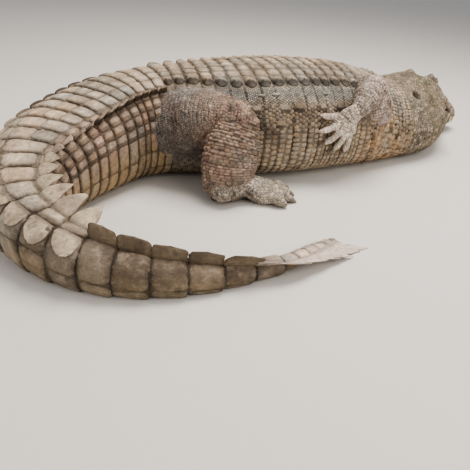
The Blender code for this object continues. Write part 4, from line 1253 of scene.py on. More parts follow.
def trunkScales():
    large, medium, small = [], [], []
    halfRows = np.sort(np.concatenate([trunkRows, (trunkRows[:-1] + trunkRows[1:]) / 2]))
    onHip, offHip = (lambda s, v: hipShare(0, s, v) > 0.5), (lambda s, v: hipShare(0, s, v) < 0.5)
    fineSize = lambda s, v: 0.0088 + 0.004 * softStep(0.30, 0.36, np.abs(v))
    flankSize = lambda s, v: 0.0145 + 0.004 * softStep(0.36, 0.46, np.abs(v))
    hipSize = lambda s, v: 0.0085 + 0.0035 * softStep(0.60, 0.80, np.abs(v))
    large.append(plates(body, trunkRows, lambda s, n: np.linspace(-0.178, 0.178, 7),
                        tone=lambda s, v: 1.0 + 0.08 * np.cos(v * 40), **trunkLooks["back"]))
    for sign in (-1, 1):
        between = lambda first, last: tuple(sorted((sign * first, sign * last)))
        about = lambda middle, low, high: np.sort(sign * (middle + np.array([low, high])))
        edge = lambda s, n: about(0.222 - 0.05 * softStep(1.45, 1.75, s), -0.042, 0.038)
        # The tall edge scutes get painted shade on their outer half, as under an overhanging keel.
        large.append(plates(body, trunkRows, edge, dark=sign * 0.80, **trunkLooks["edge"]))
        small.append(beads(body, 0.885, tailRoot, between(0.258, 0.352), fineSize, **trunkLooks["fine"]))
        medium.append(beads(body, 0.885, tailRoot, between(0.352, 0.448), flankSize, keep=offHip,
                            **trunkLooks["flank"]))
        small.append(beads(body, tailRoot - 0.24, tailRoot, between(0.345, 0.88), hipSize, keep=onHip,
                           **trunkLooks["hip"]))
        for turn, wide, long, tone, share, step in strips:
            rows = (trunkRows + step * trunkPitch)[:-1]
            # The ovals get painted shade on their outer half.
            made = plates(body, rows, lambda s, n: about(turn, -wide / 2, wide / 2), fill=long, tone=tone,
                          dark=sign * 0.66, **trunkLooks["strip"])
            kept = chance.random(len(made["s"])) < share
            large.append(thinned(made, kept & offHip(made["s"], made["v"])))

        def lowCuts(s, number):
            sizes = (0.0185 + 0.016 * np.linspace(0, 1, 26)) * chance.uniform(0.82, 1.2, 26)
            turns = 0.448 + np.concatenate([[0], np.cumsum(sizes)]) / widthAt(body, s, 0.6)
            return np.sort(sign * turns[turns < 1.0])
        made = plates(body, halfRows, lowCuts, **trunkLooks["low"])
        medium.append(thinned(made, offHip(made["s"], made["v"])))
    return large, medium, small


# The tail: rings of long scales, keeled ones below the inner crest, and tall plates on its flattened end.
bandLook = {"fill": 0.990, "jitter": 0.008, "power": 6.0, "height": 0.0044, "flat": 0.94}
# Keeled scales below the inner crest get painted shade on one half.
keeledLook = {"fill": 0.99, "jitter": 0.02, "power": 5.5, "height": 0.0046, "keel": 0.0030, "tilt": 0.0030,
              "flat": 0.85, "tone": 1.06, "dark": -0.35}
lowTailLook = {"fill": 0.992, "jitter": 0.006, "power": 8.0, "height": 0.0040, "tilt": 0.0034, "flat": 0.95,
               "soft": 0.92}
tipLook = {"fill": 0.985, "jitter": 0.02, "power": 6.0, "height": 0.0022, "tilt": 0.0010, "flat": 0.9,
           "soft": 0.85}
crestTurns = [(0.0, 0.205), (0.3, 0.20), (0.45, 0.185), (0.6, 0.15), (0.8, 0.12), (1.12, 0.055)]
topPitches = [(0.0, 0.058), (0.5, 0.080), (1.0, 0.12)]


def tailScales():
    crestTurn, topPitch = (lambda s, rows=rows: rowAt(rows, s - tailRoot)[0]
                           for rows in (crestTurns, topPitches))
    double = tailEdges[tailEdges < tailRoot + 1.14]
    single = tailEdges[tailEdges >= double[-1] - 1e-6]
    topCuts = lambda s, n: evenCuts(-crestTurn(s), crestTurn(s), 0.0, s, topPitch(s), 1)
    outerCuts = lambda s, n: evenCuts(crestTurn(s) + 0.004, 1.0, 0.5, s, 0.105)
    innerCuts = lambda s, n: -evenCuts(0.44, 1.0, -0.6, s, 0.080)[::-1]
    keeledCuts = lambda s, n: -evenCuts(crestTurn(s) + 0.006, 0.44, -0.3, s, 0.038)[::-1]
    tone = lambda s, v: 1.0 - 0.14 * (np.sin(s * 97) > 0.5)
    wide = [plates(body, double, topCuts, keel=0.0004, tilt=0.0030, soft=0.80, tone=tone, **bandLook),
            plates(body, double, outerCuts, tilt=0.0030, soft=0.85, tone=tone, **bandLook),
            plates(body, double, innerCuts, tilt=0.0028, soft=0.75, tone=tone, **bandLook)]
    large = [plates(body, double, keeledCuts, **keeledLook)]
    for sign in (-1, 1):
        cuts = lambda s, n: np.sort(sign * np.array([-0.02, 0.54 + 0.04 * (n % 2), 1.0]))
        wide.append(plates(body, single[single < tailRoot + 1.70], cuts, tone=tone, **lowTailLook))
    tip = single[single > tailRoot + 1.62]
    large.append(plates(body, tip, lambda s, n: np.linspace(-0.96, 0.96, 5), **tipLook))
    return wide, large


# The neck: beads in curved rows, and keeled plates on the nape, given by distance from the snout, turns,
# half length and height.
neckLook = {"cover": 1.26, "height": 0.0056, "flat": 0.3, "power": 2.4, "tone": 1.05}
napeRows = [(0.752, (-0.105, -0.035, 0.035, 0.105), 0.025, 0.012),
            (0.806, (-0.085, -0.028, 0.028, 0.085), 0.025, 0.012),
            (0.690, (-0.060, -0.020, 0.020, 0.060), 0.013, 0.006)]


def neckScales():
    sizes = lambda s, v: (0.0150 + 0.0085 * bell(np.abs(v), 0.54, 0.15)
                          + 0.006 * softStep(0.7, 0.85, np.abs(v)))
    large, medium = [], [beads(body, 0.700, 0.888, (-1.0, 1.0), sizes, **neckLook)]
    for along, turns, half, height in napeRows:
        s, v = np.full(len(turns), along), np.array(turns)
        rateS, rateV = body.rates(s, v)
        large.append(batch(body, s, v, half / rateS, half * 0.82 / rateV, height=height * 0.7, keel=height,
                           tilt=height * 0.3, flat=0.3, tone=0.85))
    return large, medium


def headScales():
    # Small scales on the head, clear of the eyes and the line of the mouth.
    sizes = lambda s, v: 0.0092 + 0.0050 * softStep(0.45, 0.75, np.abs(v)) + 0.004 * softStep(0.45, 0.30, s)

    def besideEyes(s, v):
        points = body.place(s, v)
        along, side, z = headFrame(points)
        clear = ~((np.abs(z - mouthHeight(along)) < 0.0075) & (np.abs(v) > 0.12) & (along > 0.165))
        for eye in eyes:
            clear &= np.linalg.norm(points - eye, axis=1) > 0.030
        return clear

    return [beads(body, 0.020, 0.704, (-1.0, 1.0), sizes, keep=besideEyes, height=0.0014, power=2.8,
                  scatter=0.24, variety=0.20)]


# The limbs: beads, plates along the toes, rings round the hind shanks and a fringe of tall scales down them.
limbLooks = {
    "toe": {"height": 0.0012, "flat": 0.4, "power": 2.6},
    "toeTop": {"fill": 0.98, "jitter": 0.02, "power": 3.5, "height": 0.0022, "tilt": 0.0010,
               "flat": 0.6},
    "palm": {"height": 0.0016, "flat": 0.4, "scatter": 0.3, "variety": 0.12},
    "arm": {"cover": 1.24, "height": 0.0006, "flat": 0.75, "power": 3.2, "scatter": 0.20, "variety": 0.05},
    "thigh": {"cover": 1.24, "height": 0.0008, "flat": 0.75, "power": 3.2, "scatter": 0.20, "variety": 0.04},
    "shank": {"fill": 1.08, "jitter": 0.15, "power": 2.8, "height": 0.0013, "flat": 0.7, "tilt": 0.0004,
              "soft": 0.3},
    "fringe": {"power": 2.2, "height": 0.0070, "keel": 0.0020, "tilt": 0.002, "flat": 0.3,
               "tone": 0.95},
}


def limbScales(front):
    small, medium = [], []
    thighSize = lambda s, v: 0.0080 + 0.0050 * softStep(0.24, 0.36, s)
    for chart in charts[1:]:
        if ("arm" in chart.name) != front:
            continue
        end = chart.reach[-1]
        if "toe" in chart.name:
            small.append(beads(chart, 0.006, end - 0.002, (-1, 1), 0.0088, **limbLooks["toe"]))
            medium.append(plates(chart, np.arange(0.03, end - 0.006, 0.0115), lambda s, n: (-0.34, 0.34),
                                 **limbLooks["toeTop"]))
        elif "palm" in chart.name:
            small.append(beads(chart, 0.002, end - 0.002, (-1, 1), 0.0100, **limbLooks["palm"]))
        elif front:
            small.append(beads(chart, 0.002, end, (-1, 1), 0.0112, **limbLooks["arm"]))
        elif "upper" in chart.name:
            small.append(beads(chart, 0.002, end, (-1, 1), thighSize, **limbLooks["thigh"]))
        else:
            rings = np.cumsum(chance.uniform(0.0085, 0.0145, int(end / 0.0115)))
            around = lambda s, n: np.linspace(-1, 1, max(8, int(2 * widthAt(chart, s, 0.0) / 0.022)) + n % 2)
            medium.append(plates(chart, rings, around, **limbLooks["shank"]))
            for turn, size in ((0.50, 0.020), (0.43, 0.016)):
                s = np.arange(0.02, end, size * 0.95)
                v = np.full(len(s), turn)
                rateS, rateV = chart.rates(s, v)
                medium.append(batch(chart, s, v, size * 0.56 / rateS, size * 0.5 / rateV,
                                    **limbLooks["fringe"]))
    return small, medium


def halves(batches):
    # The scales on the right of the middle line and those on its left.
    return ([thinned(made, made["v"] < 0.0) for made in batches],
            [thinned(made, made["v"] >= 0.0) for made in batches])


def onLimb(batches, side):
    return [made for made in batches if charts[made["chart"][0]].name.startswith(side)]


trunkLarge, trunkMedium, trunkSmall = trunkScales()
tailWide, tailLarge = tailScales()
neckLarge, neckMedium = neckScales()
armSmall, armMedium = limbScales(True)
legSmall, legMedium = limbScales(False)
headRight, headLeft = halves(headScales())
trunkRight, trunkLeft = halves(trunkMedium)
coatPieces = [growScales(name, batches, kind) for name, batches, kind in (
    ("scutes_trunk", trunkLarge, "large"), ("scales_trunk_right", trunkRight, "medium"),
    ("scales_trunk_left", trunkLeft, "medium"), ("scales_flanks", trunkSmall, "small"),
    ("bands_tail", tailWide, "wide"), ("scutes_tail", tailLarge, "large"),
    ("scutes_neck", neckLarge, "large"), ("scales_neck", neckMedium, "medium"),
    ("scales_head_right", headRight, "small"), ("scales_head_left", headLeft, "small"),
    ("scales_arms", armSmall, "small"), ("scutes_arms", armMedium, "medium"),
    ("scales_leg_right", onLimb(legSmall, "right"), "small"),
    ("scales_leg_left", onLimb(legSmall, "left"), "small"), ("scutes_legs", legMedium, "medium"))]


# The crest is two rows of horny plates that join into one. Its tables begin with the distance along the
# tail. The double crest has height, lean of the right and of the left plate, and sweep; the single one
# has height and sweep.
crestMeets, crestThick = 1.12, 0.008
leftShare = [(0.00, 0.36), (0.70, 0.42), (0.86, 0.72)]
doubleCrest = [(0.00, 0.030, 30, 60, 0.10), (0.40, 0.036, 40, 70, 0.15), (0.60, 0.044, 50, 82, 0.30),
               (0.70, 0.054, 54, 90, 0.36), (0.86, 0.080, 58, 104, 0.40), (1.00, 0.096, 64, 112, 0.32),
               (1.12, 0.092, 70, 108, 0.18)]
crestSpread = [(0.0, 0.70), (0.5, 0.72), (1.12, 0.22)]
singleCrest = [(1.12, 0.048, 0.02), (1.24, 0.046, 0.02), (1.42, 0.038, 0.03), (1.60, 0.042, 0.40),
               (1.70, 0.054, 0.80), (1.80, 0.076, 1.10), (1.90, 0.082, 1.30), (2.00, 0.066, 1.50)]


def crestFrame(distance, side):
    # Points on the back beside the middle line, and the up and leftward directions there.
    s = tailRoot + np.ravel(distance)
    beyond = np.maximum(s - bodyEnd + 0.002, 0)
    s = s - beyond
    heading = headingAt(s)
    x, y, half, top, low, belt, squareTop, squareLow, roll = smoothThrough(stations, table, s).T
    top = top - coat["depth"] * 0.5
    roll = np.radians(roll)
    beltHeight = low + belt * (top - low)
    share = 1 - np.clip(np.abs(side) / half, 0, 1) ** squareTop
    height = beltHeight + (top - beltHeight) * share ** (1 / squareTop)
    side, height = rolled(side, height, roll, beltHeight, low, half)
    left = np.stack([-heading[:, 1], heading[:, 0], np.zeros(len(s))], 1)
    upright = np.array([0.0, 0.0, 1.0])
    foot = np.stack([x, y, np.zeros(len(s))], 1)
    foot[:, :2] -= heading * beyond[:, None]
    foot = foot + left * side[:, None] + upright * height[:, None]
    up = upright * np.cos(roll)[:, None] + left * np.sin(roll)[:, None]
    across = left * np.cos(roll)[:, None] - upright * np.sin(roll)[:, None]
    return foot, up, across


def crestBlade(distance, length, side, height, lean, sweep, outline, thickness, seed, wide, tall):
    # A blade as a tube pressed flat: levels from the foot up, and points round each level.
    levels = np.concatenate([[-0.012 / height], np.linspace(0, 1, tall)])
    p = np.concatenate([np.linspace(-1, 1, wide), np.linspace(1, -1, wide)])
    face = np.concatenate([np.ones(wide), -np.ones(wide)])
    random = np.random.default_rng(seed)
    lumps = random.uniform(-1, 1, 6)
    q = np.clip(levels, 0, 1)[:, None]
    edge = (1 - q ** outline[0]) ** outline[1]
    ragged = (1 + 0.035 * np.sin(q * 9 + lumps[0] * 3) * (p[None] > 0)
              + 0.03 * np.sin(q * 13 + lumps[1] * 3) * (p[None] < 0))
    stalk = 1 - 0.10 * np.exp(-(q / 0.12) ** 2) * (height > 0.06) * (distance < crestMeets)
    d = distance + sweep * q ** 1.9 * length + length / 2 * edge * ragged * stalk * p[None]
    bend = math.radians(14 if lean >= 0 else -14) * (height > 0.03)
    rootLean = math.radians(np.clip(lean, -55, 55))
    risenLean = math.radians(lean) + bend * (q - 0.5) + 0.05 * lumps[2] * p[None] * q
    tilt = np.where(levels[:, None] < 0, rootLean, risenLean)
    thick = thickness / 2 * (1 - 0.68 * q) * (1 - 0.75 * np.abs(p[None]) ** 3) + 0.0004
    ribs = 0.0005 * np.sin(p * (10 + 3 * lumps[3]) + lumps[4] * 4)[None] * q * (1 - np.abs(p[None]))
    foot, up, across = (part.reshape(*d.shape, 3) for part in crestFrame(d, side))
    sine, cosine = np.sin(tilt)[..., None], np.cos(tilt)[..., None]
    risen, out = up * cosine - across * sine, up * sine + across * cosine
    rise = levels[:, None, None] * height * (1 - 0.05 * np.abs(p[None, :, None]) * lumps[5])
    points = foot + risen * rise + out * ((thick + ribs) * face[None])[..., None]
    points[..., 2] = np.maximum(points[..., 2], 0.0006)
    columns = 2 * wide
    faces = halved(gridFaces(len(levels), columns))
    caps = []
    top = (len(levels) - 1) * columns
    for j in range(wide - 1):
        a, b, c, e = j, j + 1, columns - 2 - j, columns - 1 - j
        caps += [[a, b, c], [a, c, e], [top + c, top + b, top + a], [top + e, top + c, top + a]]
    shares = [np.broadcast_to(value, d.shape).ravel() for value in (q, p[None], face[None])]
    return points.reshape(-1, 3), np.concatenate([faces, np.array(caps)]), *shares


def crestBlades():
    # Bumps near the hip, pointed flaps in two rows, upright plates where the rows have met, and a swept fan.
    blades = []
    edges = tailEdges - tailRoot
    blunt, plain, pointed, square = (2.2, 0.5), (2.6, 0.6), (1.8, 0.72), (8.0, 0.30)
    for first, second in zip(edges, edges[1:]):
        middle, length = (first + second) / 2, second - first
        if middle < crestMeets:
            height, rightLean, leftLean, sweep = rowAt(doubleCrest, middle)
            half = smoothThrough(stations, table, np.array([tailRoot + middle]))[0][2]
            spread = rowAt(crestSpread, middle)[0] * half
            bump = middle < 0.45
            thick = crestThick * (2.2 if bump else 1.0)
            blades.append((middle, (0.92 if bump else 0.98) * length, -spread, height, rightLean, sweep,
                           blunt if bump else pointed, thick))
            blades.append((middle, 0.92 * length, spread, height * rowAt(leftShare, middle)[0], -leftLean,
                           0.1, blunt if middle < 1.0 else plain, thick))
        else:
            height, sweep = rowAt(singleCrest, middle)
            upright = middle < 1.62
            wide, lean, outline, thick = (1.01, 0.0, square, 1.15) if upright else (1.9, -4.0, pointed, 0.6)
            blades.append((middle, wide * length, 0.0, height, lean, sweep, outline, crestThick * thick))
    return blades


def crestColour(points, q, p, distance):
    # Painted shade on dark bumps, then painted light on pale flaps, shade on brown plates, light on a
    # striped fan.
    fine, spots = noiseAt(points, 0.010, 31), noiseAt(points, 0.028, 33)
    at = np.full(len(q), distance)
    pale = over("horn", ("hornSpots", softStep(0.3, 0.8, spots)))
    plate = over("plate", ("plateSpots", softStep(0.2, 0.8, spots)),
                 ("plateRim", softStep(0.90, 1.0, q) * 0.4))
    fan = over("fan", ("fanStripes", (0.5 + 0.5 * np.sin(p * 17 + 3 * noiseAt(points, 0.02, 35))) * 0.8))
    upright = (distance > 1.1) * (distance < 1.62)
    colour = over("bump", ("bumpTip", softStep(0.55, 1.0, q)), (pale, softStep(0.40, 0.60, at)),
                  (plate, softStep(1.10, 1.18, at)),
                  (fan, softStep(1.58, 1.68, at) * (0.6 + 0.4 * softStep(0.0, 0.3, q))),
                  ("dark", softStep(0.70, 0.86, fine) * 0.55),
                  # Painted shade at each blade's root and at the edges where upright plates meet.
                  ("grooveShade", (1 - softStep(0.0, 0.16, q)) * (0.6 if distance < 1.1 else 0.15)),
                  ("grooveShade", softStep(0.90, 0.99, np.abs(p)) * upright * 0.6))
    return colour * (0.9 + 0.2 * fine)[:, None]


def makeCrest():
    blades, tints, uvs = [], [], []
    for number, blade in enumerate(crestBlades()):
        distance, height = blade[0], blade[3]
        wide, tall = (17, 15) if height > 0.04 else (11, 9)
        bladePoints, bladeFaces, q, p, face = crestBlade(*blade, seed=100 + number, wide=wide, tall=tall)
        blades.append((bladePoints, bladeFaces))
        tints.append(crestColour(bladePoints, q, p, distance))
        column, row = number % 10, number // 10
        u = (column + 0.5 + 0.22 * face + 0.20 * p) / 10
        uvs.append(np.stack([u, (row + 0.06 + 0.86 * q) / 10], 1)[bladeFaces].reshape(-1, 2))
    item = meshObject("crest", *stacked(blades))
    setAttribute(item.data, "tint", "FLOAT_COLOR", np.concatenate(tints))
    setUV(item.data, np.concatenate(uvs))
    item.data.shade_smooth()
    return item


def taperedTube(path, radii, sides, up=(0, 0, 1), flatten=1.0):
    path = np.array(path, dtype=float)
    ahead = np.gradient(path, axis=0)
    ahead /= np.linalg.norm(ahead, axis=1)[:, None]
    across = np.cross(ahead, np.array(up, dtype=float))
    across /= np.linalg.norm(across, axis=1)[:, None]
    rise = np.cross(across, ahead)
    angle = np.arange(sides) * 2 * math.pi / sides
    spoke = (across[:, None] * np.cos(angle)[None, :, None]
             + rise[:, None] * np.sin(angle)[None, :, None] * flatten)
    rings = path[:, None] + spoke * np.array(radii)[:, None, None]
    faces = halved(gridFaces(len(path), sides)[:, ::-1])
    count = len(path) * sides
    ring, following = np.arange(sides), (np.arange(sides) + 1) % sides
    start = np.stack([np.full(sides, count), ring, following], 1)
    end = np.stack([np.full(sides, count + 1), count - sides + following, count - sides + ring], 1)
    points = np.concatenate([rings.reshape(-1, 3), path[:1], path[-1:]])
    points[:, 2] = np.maximum(points[:, 2], 0.0005)
    share = np.concatenate([np.repeat(np.linspace(0, 1, len(path)), sides), [0.0, 1.0]])
    return points, np.concatenate([faces, start, end]), share


def gathered(name, tubes, root, tip):
    # Claws or teeth as one mesh, coloured from root to tip.
    tints, uvs = [], []
    for number, (tubePoints, tubeFaces, share) in enumerate(tubes):
        colour = mixed(np.array(root), np.array(tip), share)
        tints.append(colour * (0.8 + 0.4 * noiseAt(tubePoints, 0.006, 41))[:, None])
        x, y = (tubePoints[:, :2] - tubePoints[:, :2].mean(0)).T
        u = (number % 8 + 0.5 + 0.4 * np.arctan2(y, x) / math.pi) / 8
        uvs.append(np.stack([u, (number // 8 + 0.1 + 0.8 * share) / 8], 1)[tubeFaces].reshape(-1, 2))
    item = meshObject(name, *stacked(tube[:2] for tube in tubes))
    setAttribute(item.data, "tint", "FLOAT_COLOR", np.concatenate(tints))
    setUV(item.data, np.clip(np.concatenate(uvs), 0, 1))
    item.data.shade_smooth()
    return item


claw = {"root": -0.010, "thick": 0.46, "drop": 0.16, "steps": 14, "sides": 16}
tooth = {"ahead": (0.600, 0.575, 0.538, 0.495, 0.440, 0.404, 0.368, 0.332, 0.296, 0.264, 0.236),
         "upward": (0.618, 0.467), "big": (0.538, 0.467, 0.332), "radius": 0.0064, "length": 0.025,
         "sunk": 0.010}


def makeClaws():
    tubes = []
    for limb in limbs.values():
        lift = np.array(limb["lift"], dtype=float)
        up = lift / np.linalg.norm(lift)
        for number in range(3):
            knuckle, tip = (np.array(limb[key][number]) - shift for key in ("knuckles", "tips"))
            ahead = tip - (knuckle + tip) / 2 - lift
            ahead /= np.linalg.norm(ahead)
            reach = np.linspace(claw["root"], limb["claw"], claw["steps"])
            share = np.clip(reach / limb["claw"], 0, 1)
            path = tip + ahead * reach[:, None] - up * (share ** 2 * limb["claw"] * claw["drop"])[:, None]
            radii = limb["radius"] * (claw["thick"] * (1 - share) ** 0.75 + 0.03)
            radii = radii * (1 + 0.03 * np.sin(reach * 900))
            tubes.append(taperedTube(path, radii, claw["sides"], up, 0.85))
    return gathered("claws", tubes, (0.13, 0.10, 0.075), (0.26, 0.21, 0.155))


def makeTeeth():
    tubes = []
    for along in (*tooth["ahead"], *tooth["upward"]):
        values = smoothThrough(stations, table, np.array([headLength - along]))[0]
        lip = float(mouthHeight(np.array([along]))[0])
        half = halfWidthAt(values, lip)
        size = 1.25 if along in tooth["big"] else 1.0
        way = 1 if along in tooth["upward"] else -1
        for sign in (-1, 1):
            steps = np.linspace(0, 1, 10)
            height = lip - tooth["sunk"] * way + way * steps * (tooth["length"] * size + tooth["sunk"])
            out = half - 0.0075 + 0.0035 * np.sin(steps * 2.4)
            path = np.array([headPlace(along + 0.002 * t, sign * o, h)
                             for t, o, h in zip(steps, out, height)])
            radii = tooth["radius"] * size * (1 - steps ** 1.6) + 0.0007
            tubes.append(taperedTube(path, radii, 14, (1, 0, 0)))
    return gathered("teeth", tubes, (0.50, 0.43, 0.29), (0.68, 0.63, 0.50))


def makeEye(name, centre, sign):
    gaze, level, rise = eyeWays(sign)
    rows, columns = 49, 64
    tilt, turn = np.meshgrid(np.linspace(0.001, math.pi - 0.001, rows),
                             np.arange(columns) * 2 * math.pi / columns, indexing="ij")
    bulge = 1 + 0.045 * np.exp(-(tilt / 0.5) ** 2)
    sideways = level * np.cos(turn)[..., None] + rise * np.sin(turn)[..., None]
    way = gaze * np.cos(tilt)[..., None] + sideways * np.sin(tilt)[..., None]
    points = (centre + way * ((eyeRadius - 0.0006) * bulge)[..., None]).reshape(-1, 3)
    faces = halved(gridFaces(rows, columns))
    caps = []
    for base, flip in ((0, 1), ((rows - 1) * columns, -1)):
        caps += [[base, base + j + 1, base + j][::flip] for j in range(1, columns - 1)]
    item = meshObject(name, points, np.concatenate([faces, np.array(caps)]))
    offset = (points - centre) / eyeRadius
    for label, direction in (("across", level), ("over", rise), ("facing", gaze)):
        setAttribute(item.data, label, "FLOAT", offset @ direction)
    flat = np.stack([0.5 + 0.24 * (offset @ level), 0.5 + 0.24 * (offset @ rise)], 1)
    flat[:, 0] += np.where(offset @ gaze > 0, -0.24, 0.24)
    setUV(item.data, np.clip(flat[facesOf(item, 3)].reshape(-1, 2), 0, 1))
    item.data.shade_smooth()
    return item


crest = makeCrest()
claws, teeth = makeClaws(), makeTeeth()
rightEye, leftEye = makeEye("eye_right", eyes[0], -1), makeEye("eye_left", eyes[1], 1)
print("made", {piece.name: len(piece.data.polygons) for piece in (crest, claws, teeth, rightEye, leftEye)})


class Flow:
    # A number from a node, with the usual sums on it.
    def __init__(self, nodes, socket):
        self.nodes, self.socket = nodes, socket

    def math(self, operation, other=0.0, clamp=False, swap=False):
        made = self.nodes.new("ShaderNodeMath")
        made.operation, made.use_clamp = operation, clamp
        first, second = (other, self) if swap else (self, other)
        for place, value in ((0, first), (1, second)):
            if isinstance(value, Flow):
                self.nodes.id_data.links.new(value.socket, made.inputs[place])
            else:
                made.inputs[place].default_value = value
        return Flow(self.nodes, made.outputs[0])

    def step(self, low=0.3, high=0.7):
        return ((self - low) / (high - low)).math("ADD", 0.0, clamp=True)


for label, operation in (("add", "ADD"), ("sub", "SUBTRACT"), ("mul", "MULTIPLY"), ("truediv", "DIVIDE")):
    setattr(Flow, f"__{label}__", lambda self, other, operation=operation: self.math(operation, other))
    setattr(Flow, f"__r{label}__",
            lambda self, other, operation=operation: self.math(operation, other, swap=True))


class Paint:
    # A material, with short ways to add nodes to it.
    def __init__(self, name):
        self.material = bpy.data.materials.new(name)
        self.material.use_nodes = True
        self.tree = self.material.node_tree
        self.nodes = self.tree.nodes
        self.shader = self.nodes["Principled BSDF"]
        self.place = self.node("ShaderNodeTexCoord", {}, {}, "Object")

    def node(self, kind, settings, values, output=0):
        made = self.nodes.new(kind)
        for name, value in settings.items():
            setattr(made, name, value)
        for name, value in values.items():
            if isinstance(value, Flow):
                self.tree.links.new(value.socket, made.inputs[name])
            else:
                made.inputs[name].default_value = value
        return Flow(self.nodes, made.outputs[output])

    def noise(self, size, detail=3.0, rough=0.55, place=None):
        values = {"Vector": place or self.place, "Scale": 1 / size, "Detail": detail, "Roughness": rough}
        return self.node("ShaderNodeTexNoise", {}, values)

    def patches(self, size, low, high, strength, detail=4.0):
        return self.noise(size, detail, 0.7).step(low, high) * strength

    def cracks(self, size, wide):
        # Nothing along the cracks between cells, and 1 away from them.
        edges = self.node("ShaderNodeTexVoronoi", {"feature": "DISTANCE_TO_EDGE"},
                          {"Vector": self.place, "Scale": 1 / size}, "Distance")
        return edges.step(0.0, wide)

    def tinted(self, level):
        # The colours laid on the mesh, brighter or darker by a level.
        return self.mix(self.attribute("tint", "Color"), self.grey(level), 1.0, "MULTIPLY")

    def attribute(self, name, output="Fac"):
        return self.node("ShaderNodeAttribute", {"attribute_name": name}, {}, output)

    def mix(self, first, second, share, blend="MIX"):
        made = self.nodes.new("ShaderNodeMix")
        made.data_type, made.blend_type = "RGBA", blend
        for place, value in ((0, share), (6, first), (7, second)):
            if isinstance(value, Flow):
                self.tree.links.new(value.socket, made.inputs[place])
            elif place:
                made.inputs[place].default_value = (*value, 1.0)
            else:
                made.inputs[place].default_value = value
        return Flow(self.nodes, made.outputs[2])

    def grey(self, value):
        return self.node("ShaderNodeCombineColor", {}, {"Red": value, "Green": value, "Blue": value})

    def set(self, **values):
        for name, value in values.items():
            socket = self.shader.inputs[name.replace("_", " ")]
            if isinstance(value, Flow):
                self.tree.links.new(value.socket, socket)
            else:
                socket.default_value = value

    def bump(self, height, strength, distance):
        values = {"Height": height, "Strength": strength, "Distance": distance}
        self.set(Normal=self.node("ShaderNodeBump", {}, values))


def hidePaint(name, wrinkle, gloss):
    paint = Paint(name)
    broad, middle, fine = paint.noise(0.09), paint.noise(0.022, 4.0), paint.noise(0.0035)
    colour = paint.tinted(0.42 + broad.step() * 0.30 + middle.step() * 0.50 + fine.step() * 0.30)
    dust = paint.patches(0.05, 0.52, 0.75, 0.30, 5.0) * broad.step(0.4, 0.6)
    colour = paint.mix(colour, (0.42, 0.37, 0.29), dust)
    colour = paint.mix(colour, (0.09, 0.068, 0.048), paint.patches(0.013, 0.58, 0.74, 0.35))
    crack = paint.cracks(wrinkle, 0.10)
    colour = paint.mix(colour, paint.mix(colour, (0.35, 0.30, 0.26), 1.0, "MULTIPLY"), (1.0 - crack) * 0.45)
    paint.set(Base_Color=colour, Roughness=0.78 - gloss + fine * 0.12 - broad * 0.06, IOR=1.42)
    paint.bump(crack * 0.5 + fine * 0.3 + middle * 0.5, 0.55, 0.0012)
    return paint.material


def bandPaint():
    # The long scales of the tail: streaks along the body, worn patches, stains and fine cracks.
    paint = Paint("hide_bands")
    lay = paint.attribute("lay", "Vector")
    stretch = lambda along, around: paint.node("ShaderNodeVectorMath", {"operation": "MULTIPLY"},
                                               {0: lay, 1: (1 / along, 1 / around, 1.0)})
    streak = paint.noise(1.0, 4.0, 0.65, stretch(0.035, 0.0045))
    rings = paint.noise(1.0, 3.0, 0.5, stretch(0.006, 0.05))
    broad, middle, fine = paint.noise(0.08), paint.noise(0.016, 4.0, 0.65), paint.noise(0.0035)
    level = 0.34 + broad.step() * 0.26 + middle.step() * 0.52 + streak.step() * 0.42
    colour = paint.tinted(level + fine.step() * 0.18)
    colour = paint.mix(colour, (0.46, 0.39, 0.30), paint.patches(0.03, 0.50, 0.68, 0.34, 5.0))
    colour = paint.mix(colour, (0.085, 0.062, 0.044), paint.patches(0.011, 0.56, 0.70, 0.50))
    crack = paint.cracks(0.016, 0.05)
    colour = paint.mix(colour, (0.07, 0.05, 0.035), (1.0 - crack) * middle.step(0.48, 0.62) * 0.6)
    paint.set(Base_Color=colour, Roughness=0.70 + fine * 0.12 - broad * 0.08)
    paint.bump(streak * 0.7 + middle * 0.6 + fine * 0.25 + crack * 0.25 + rings * 0.3, 0.6, 0.0014)
    return paint.material


def hornPaint(name, roughness, depth=0.42):
    paint = Paint(name)
    middle, fine = paint.noise(0.012, 4.0, 0.65), paint.noise(0.0025)
    colour = paint.tinted(1.02 - depth * 0.8 + middle.step() * depth + fine.step() * 0.20)
    crack = paint.cracks(0.011, 0.05)
    colour = paint.mix(colour, (0.10, 0.075, 0.05), (1.0 - crack) * middle.step(0.45, 0.6) * 0.7)
    colour = paint.mix(colour, (0.13, 0.095, 0.065), paint.patches(0.009, 0.58, 0.72, depth))
    paint.set(Base_Color=colour, Roughness=roughness + fine * 0.15)
    paint.bump(middle * 0.6 + fine * 0.3 + crack * 0.3, 0.5, 0.0010)
    return paint.material


def eyePaint():
    paint = Paint("eye")
    across, over, facing = paint.attribute("across"), paint.attribute("over"), paint.attribute("facing")
    slit = (across * across * 90.0 + over * over * 3.2).math("POWER", 0.5).step(1.0, 0.88)
    streaks = paint.noise(0.0016, 3.0)
    iris = paint.mix((0.17, 0.13, 0.05), (0.34, 0.27, 0.10), streaks.step(0.35, 0.65))
    iris = paint.mix(iris, (0.06, 0.045, 0.02), facing.step(0.86, 0.70))
    colour = paint.mix(iris, (0.004, 0.004, 0.003), slit * facing.step(0.0, 0.2))
    paint.set(Base_Color=colour, Roughness=0.12 + streaks * 0.06, Coat_Weight=1.0, Coat_Roughness=0.03)
    return paint.material


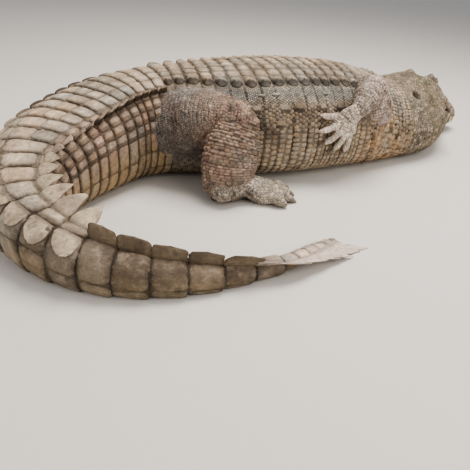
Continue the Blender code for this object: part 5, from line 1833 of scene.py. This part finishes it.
banded = [piece for piece in coatPieces if piece.name == "bands_tail"]
scaled = [piece for piece in coatPieces if piece not in banded]
paints = [([skin], hidePaint("hide_skin", 0.006, 0.06)), (scaled, hidePaint("hide_scales", 0.012, 0.10)),
          ([crest], hornPaint("crest_horn", 0.60, 0.62)), ([claws], hornPaint("claw_horn", 0.38)),
          ([teeth], hornPaint("tooth", 0.30)), (banded, bandPaint()), ([rightEye, leftEye], eyePaint())]
for pieces, material in paints:
    for piece in pieces:
        piece.data.materials.append(material)
print("painted with", len(paints), "materials")

fleshNodes = [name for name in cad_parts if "eye" not in name and "claw" not in name]
clawNodes = [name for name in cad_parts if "claw" in name]
stands = [(skin, fleshNodes, "hide"), (crest, [], "hide"), (claws, clawNodes, "claw_horn"),
          (teeth, [], "hide"), (rightEye, ["right_eye"], "eye"), (leftEye, ["left_eye"], "eye")]
for piece, nodes, slotName in stands + [(piece, [], "hide") for piece in coatPieces]:
    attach(piece, "root")
    if nodes:
        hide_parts(*nodes)


# Lamps: place, size and power in watts.
lamps = {"key": ((0.6, 0.4, 3.9), 2.2, 210), "front": ((1.4, -3.0, 2.4), 3.0, 70),
         "side": ((-3.6, -1.2, 1.8), 2.4, 30)}


def makeStage():
    bpy.ops.mesh.primitive_plane_add(size=60, location=(0, 0, -0.0005))
    floor = bpy.context.object
    floor.name = "floor"
    paint = Paint("floor")
    paint.set(Base_Color=(0.62, 0.60, 0.57, 1.0), Roughness=0.85)
    floor.data.materials.append(paint.material)
    for name, (place, size, watts) in lamps.items():
        data = bpy.data.lights.new(name, "AREA")
        data.size, data.energy, data.color = size, watts, (1.0, 0.94, 0.86)
        lamp = bpy.data.objects.new(name, data)
        bpy.context.scene.collection.objects.link(lamp)
        lamp.location = place
        lamp.rotation_euler = (Vector((0, 0, 0.1)) - Vector(place)).to_track_quat("-Z", "Y").to_euler()
    world = bpy.data.worlds.new("studio")
    world.use_nodes = True
    sky = world.node_tree.nodes["Background"].inputs
    sky["Color"].default_value, sky["Strength"].default_value = (0.97, 0.97, 1.0, 1.0), 0.42
    bpy.context.scene.world = world
    bpy.context.scene.view_settings.look = "AgX - Medium High Contrast"


makeStage()
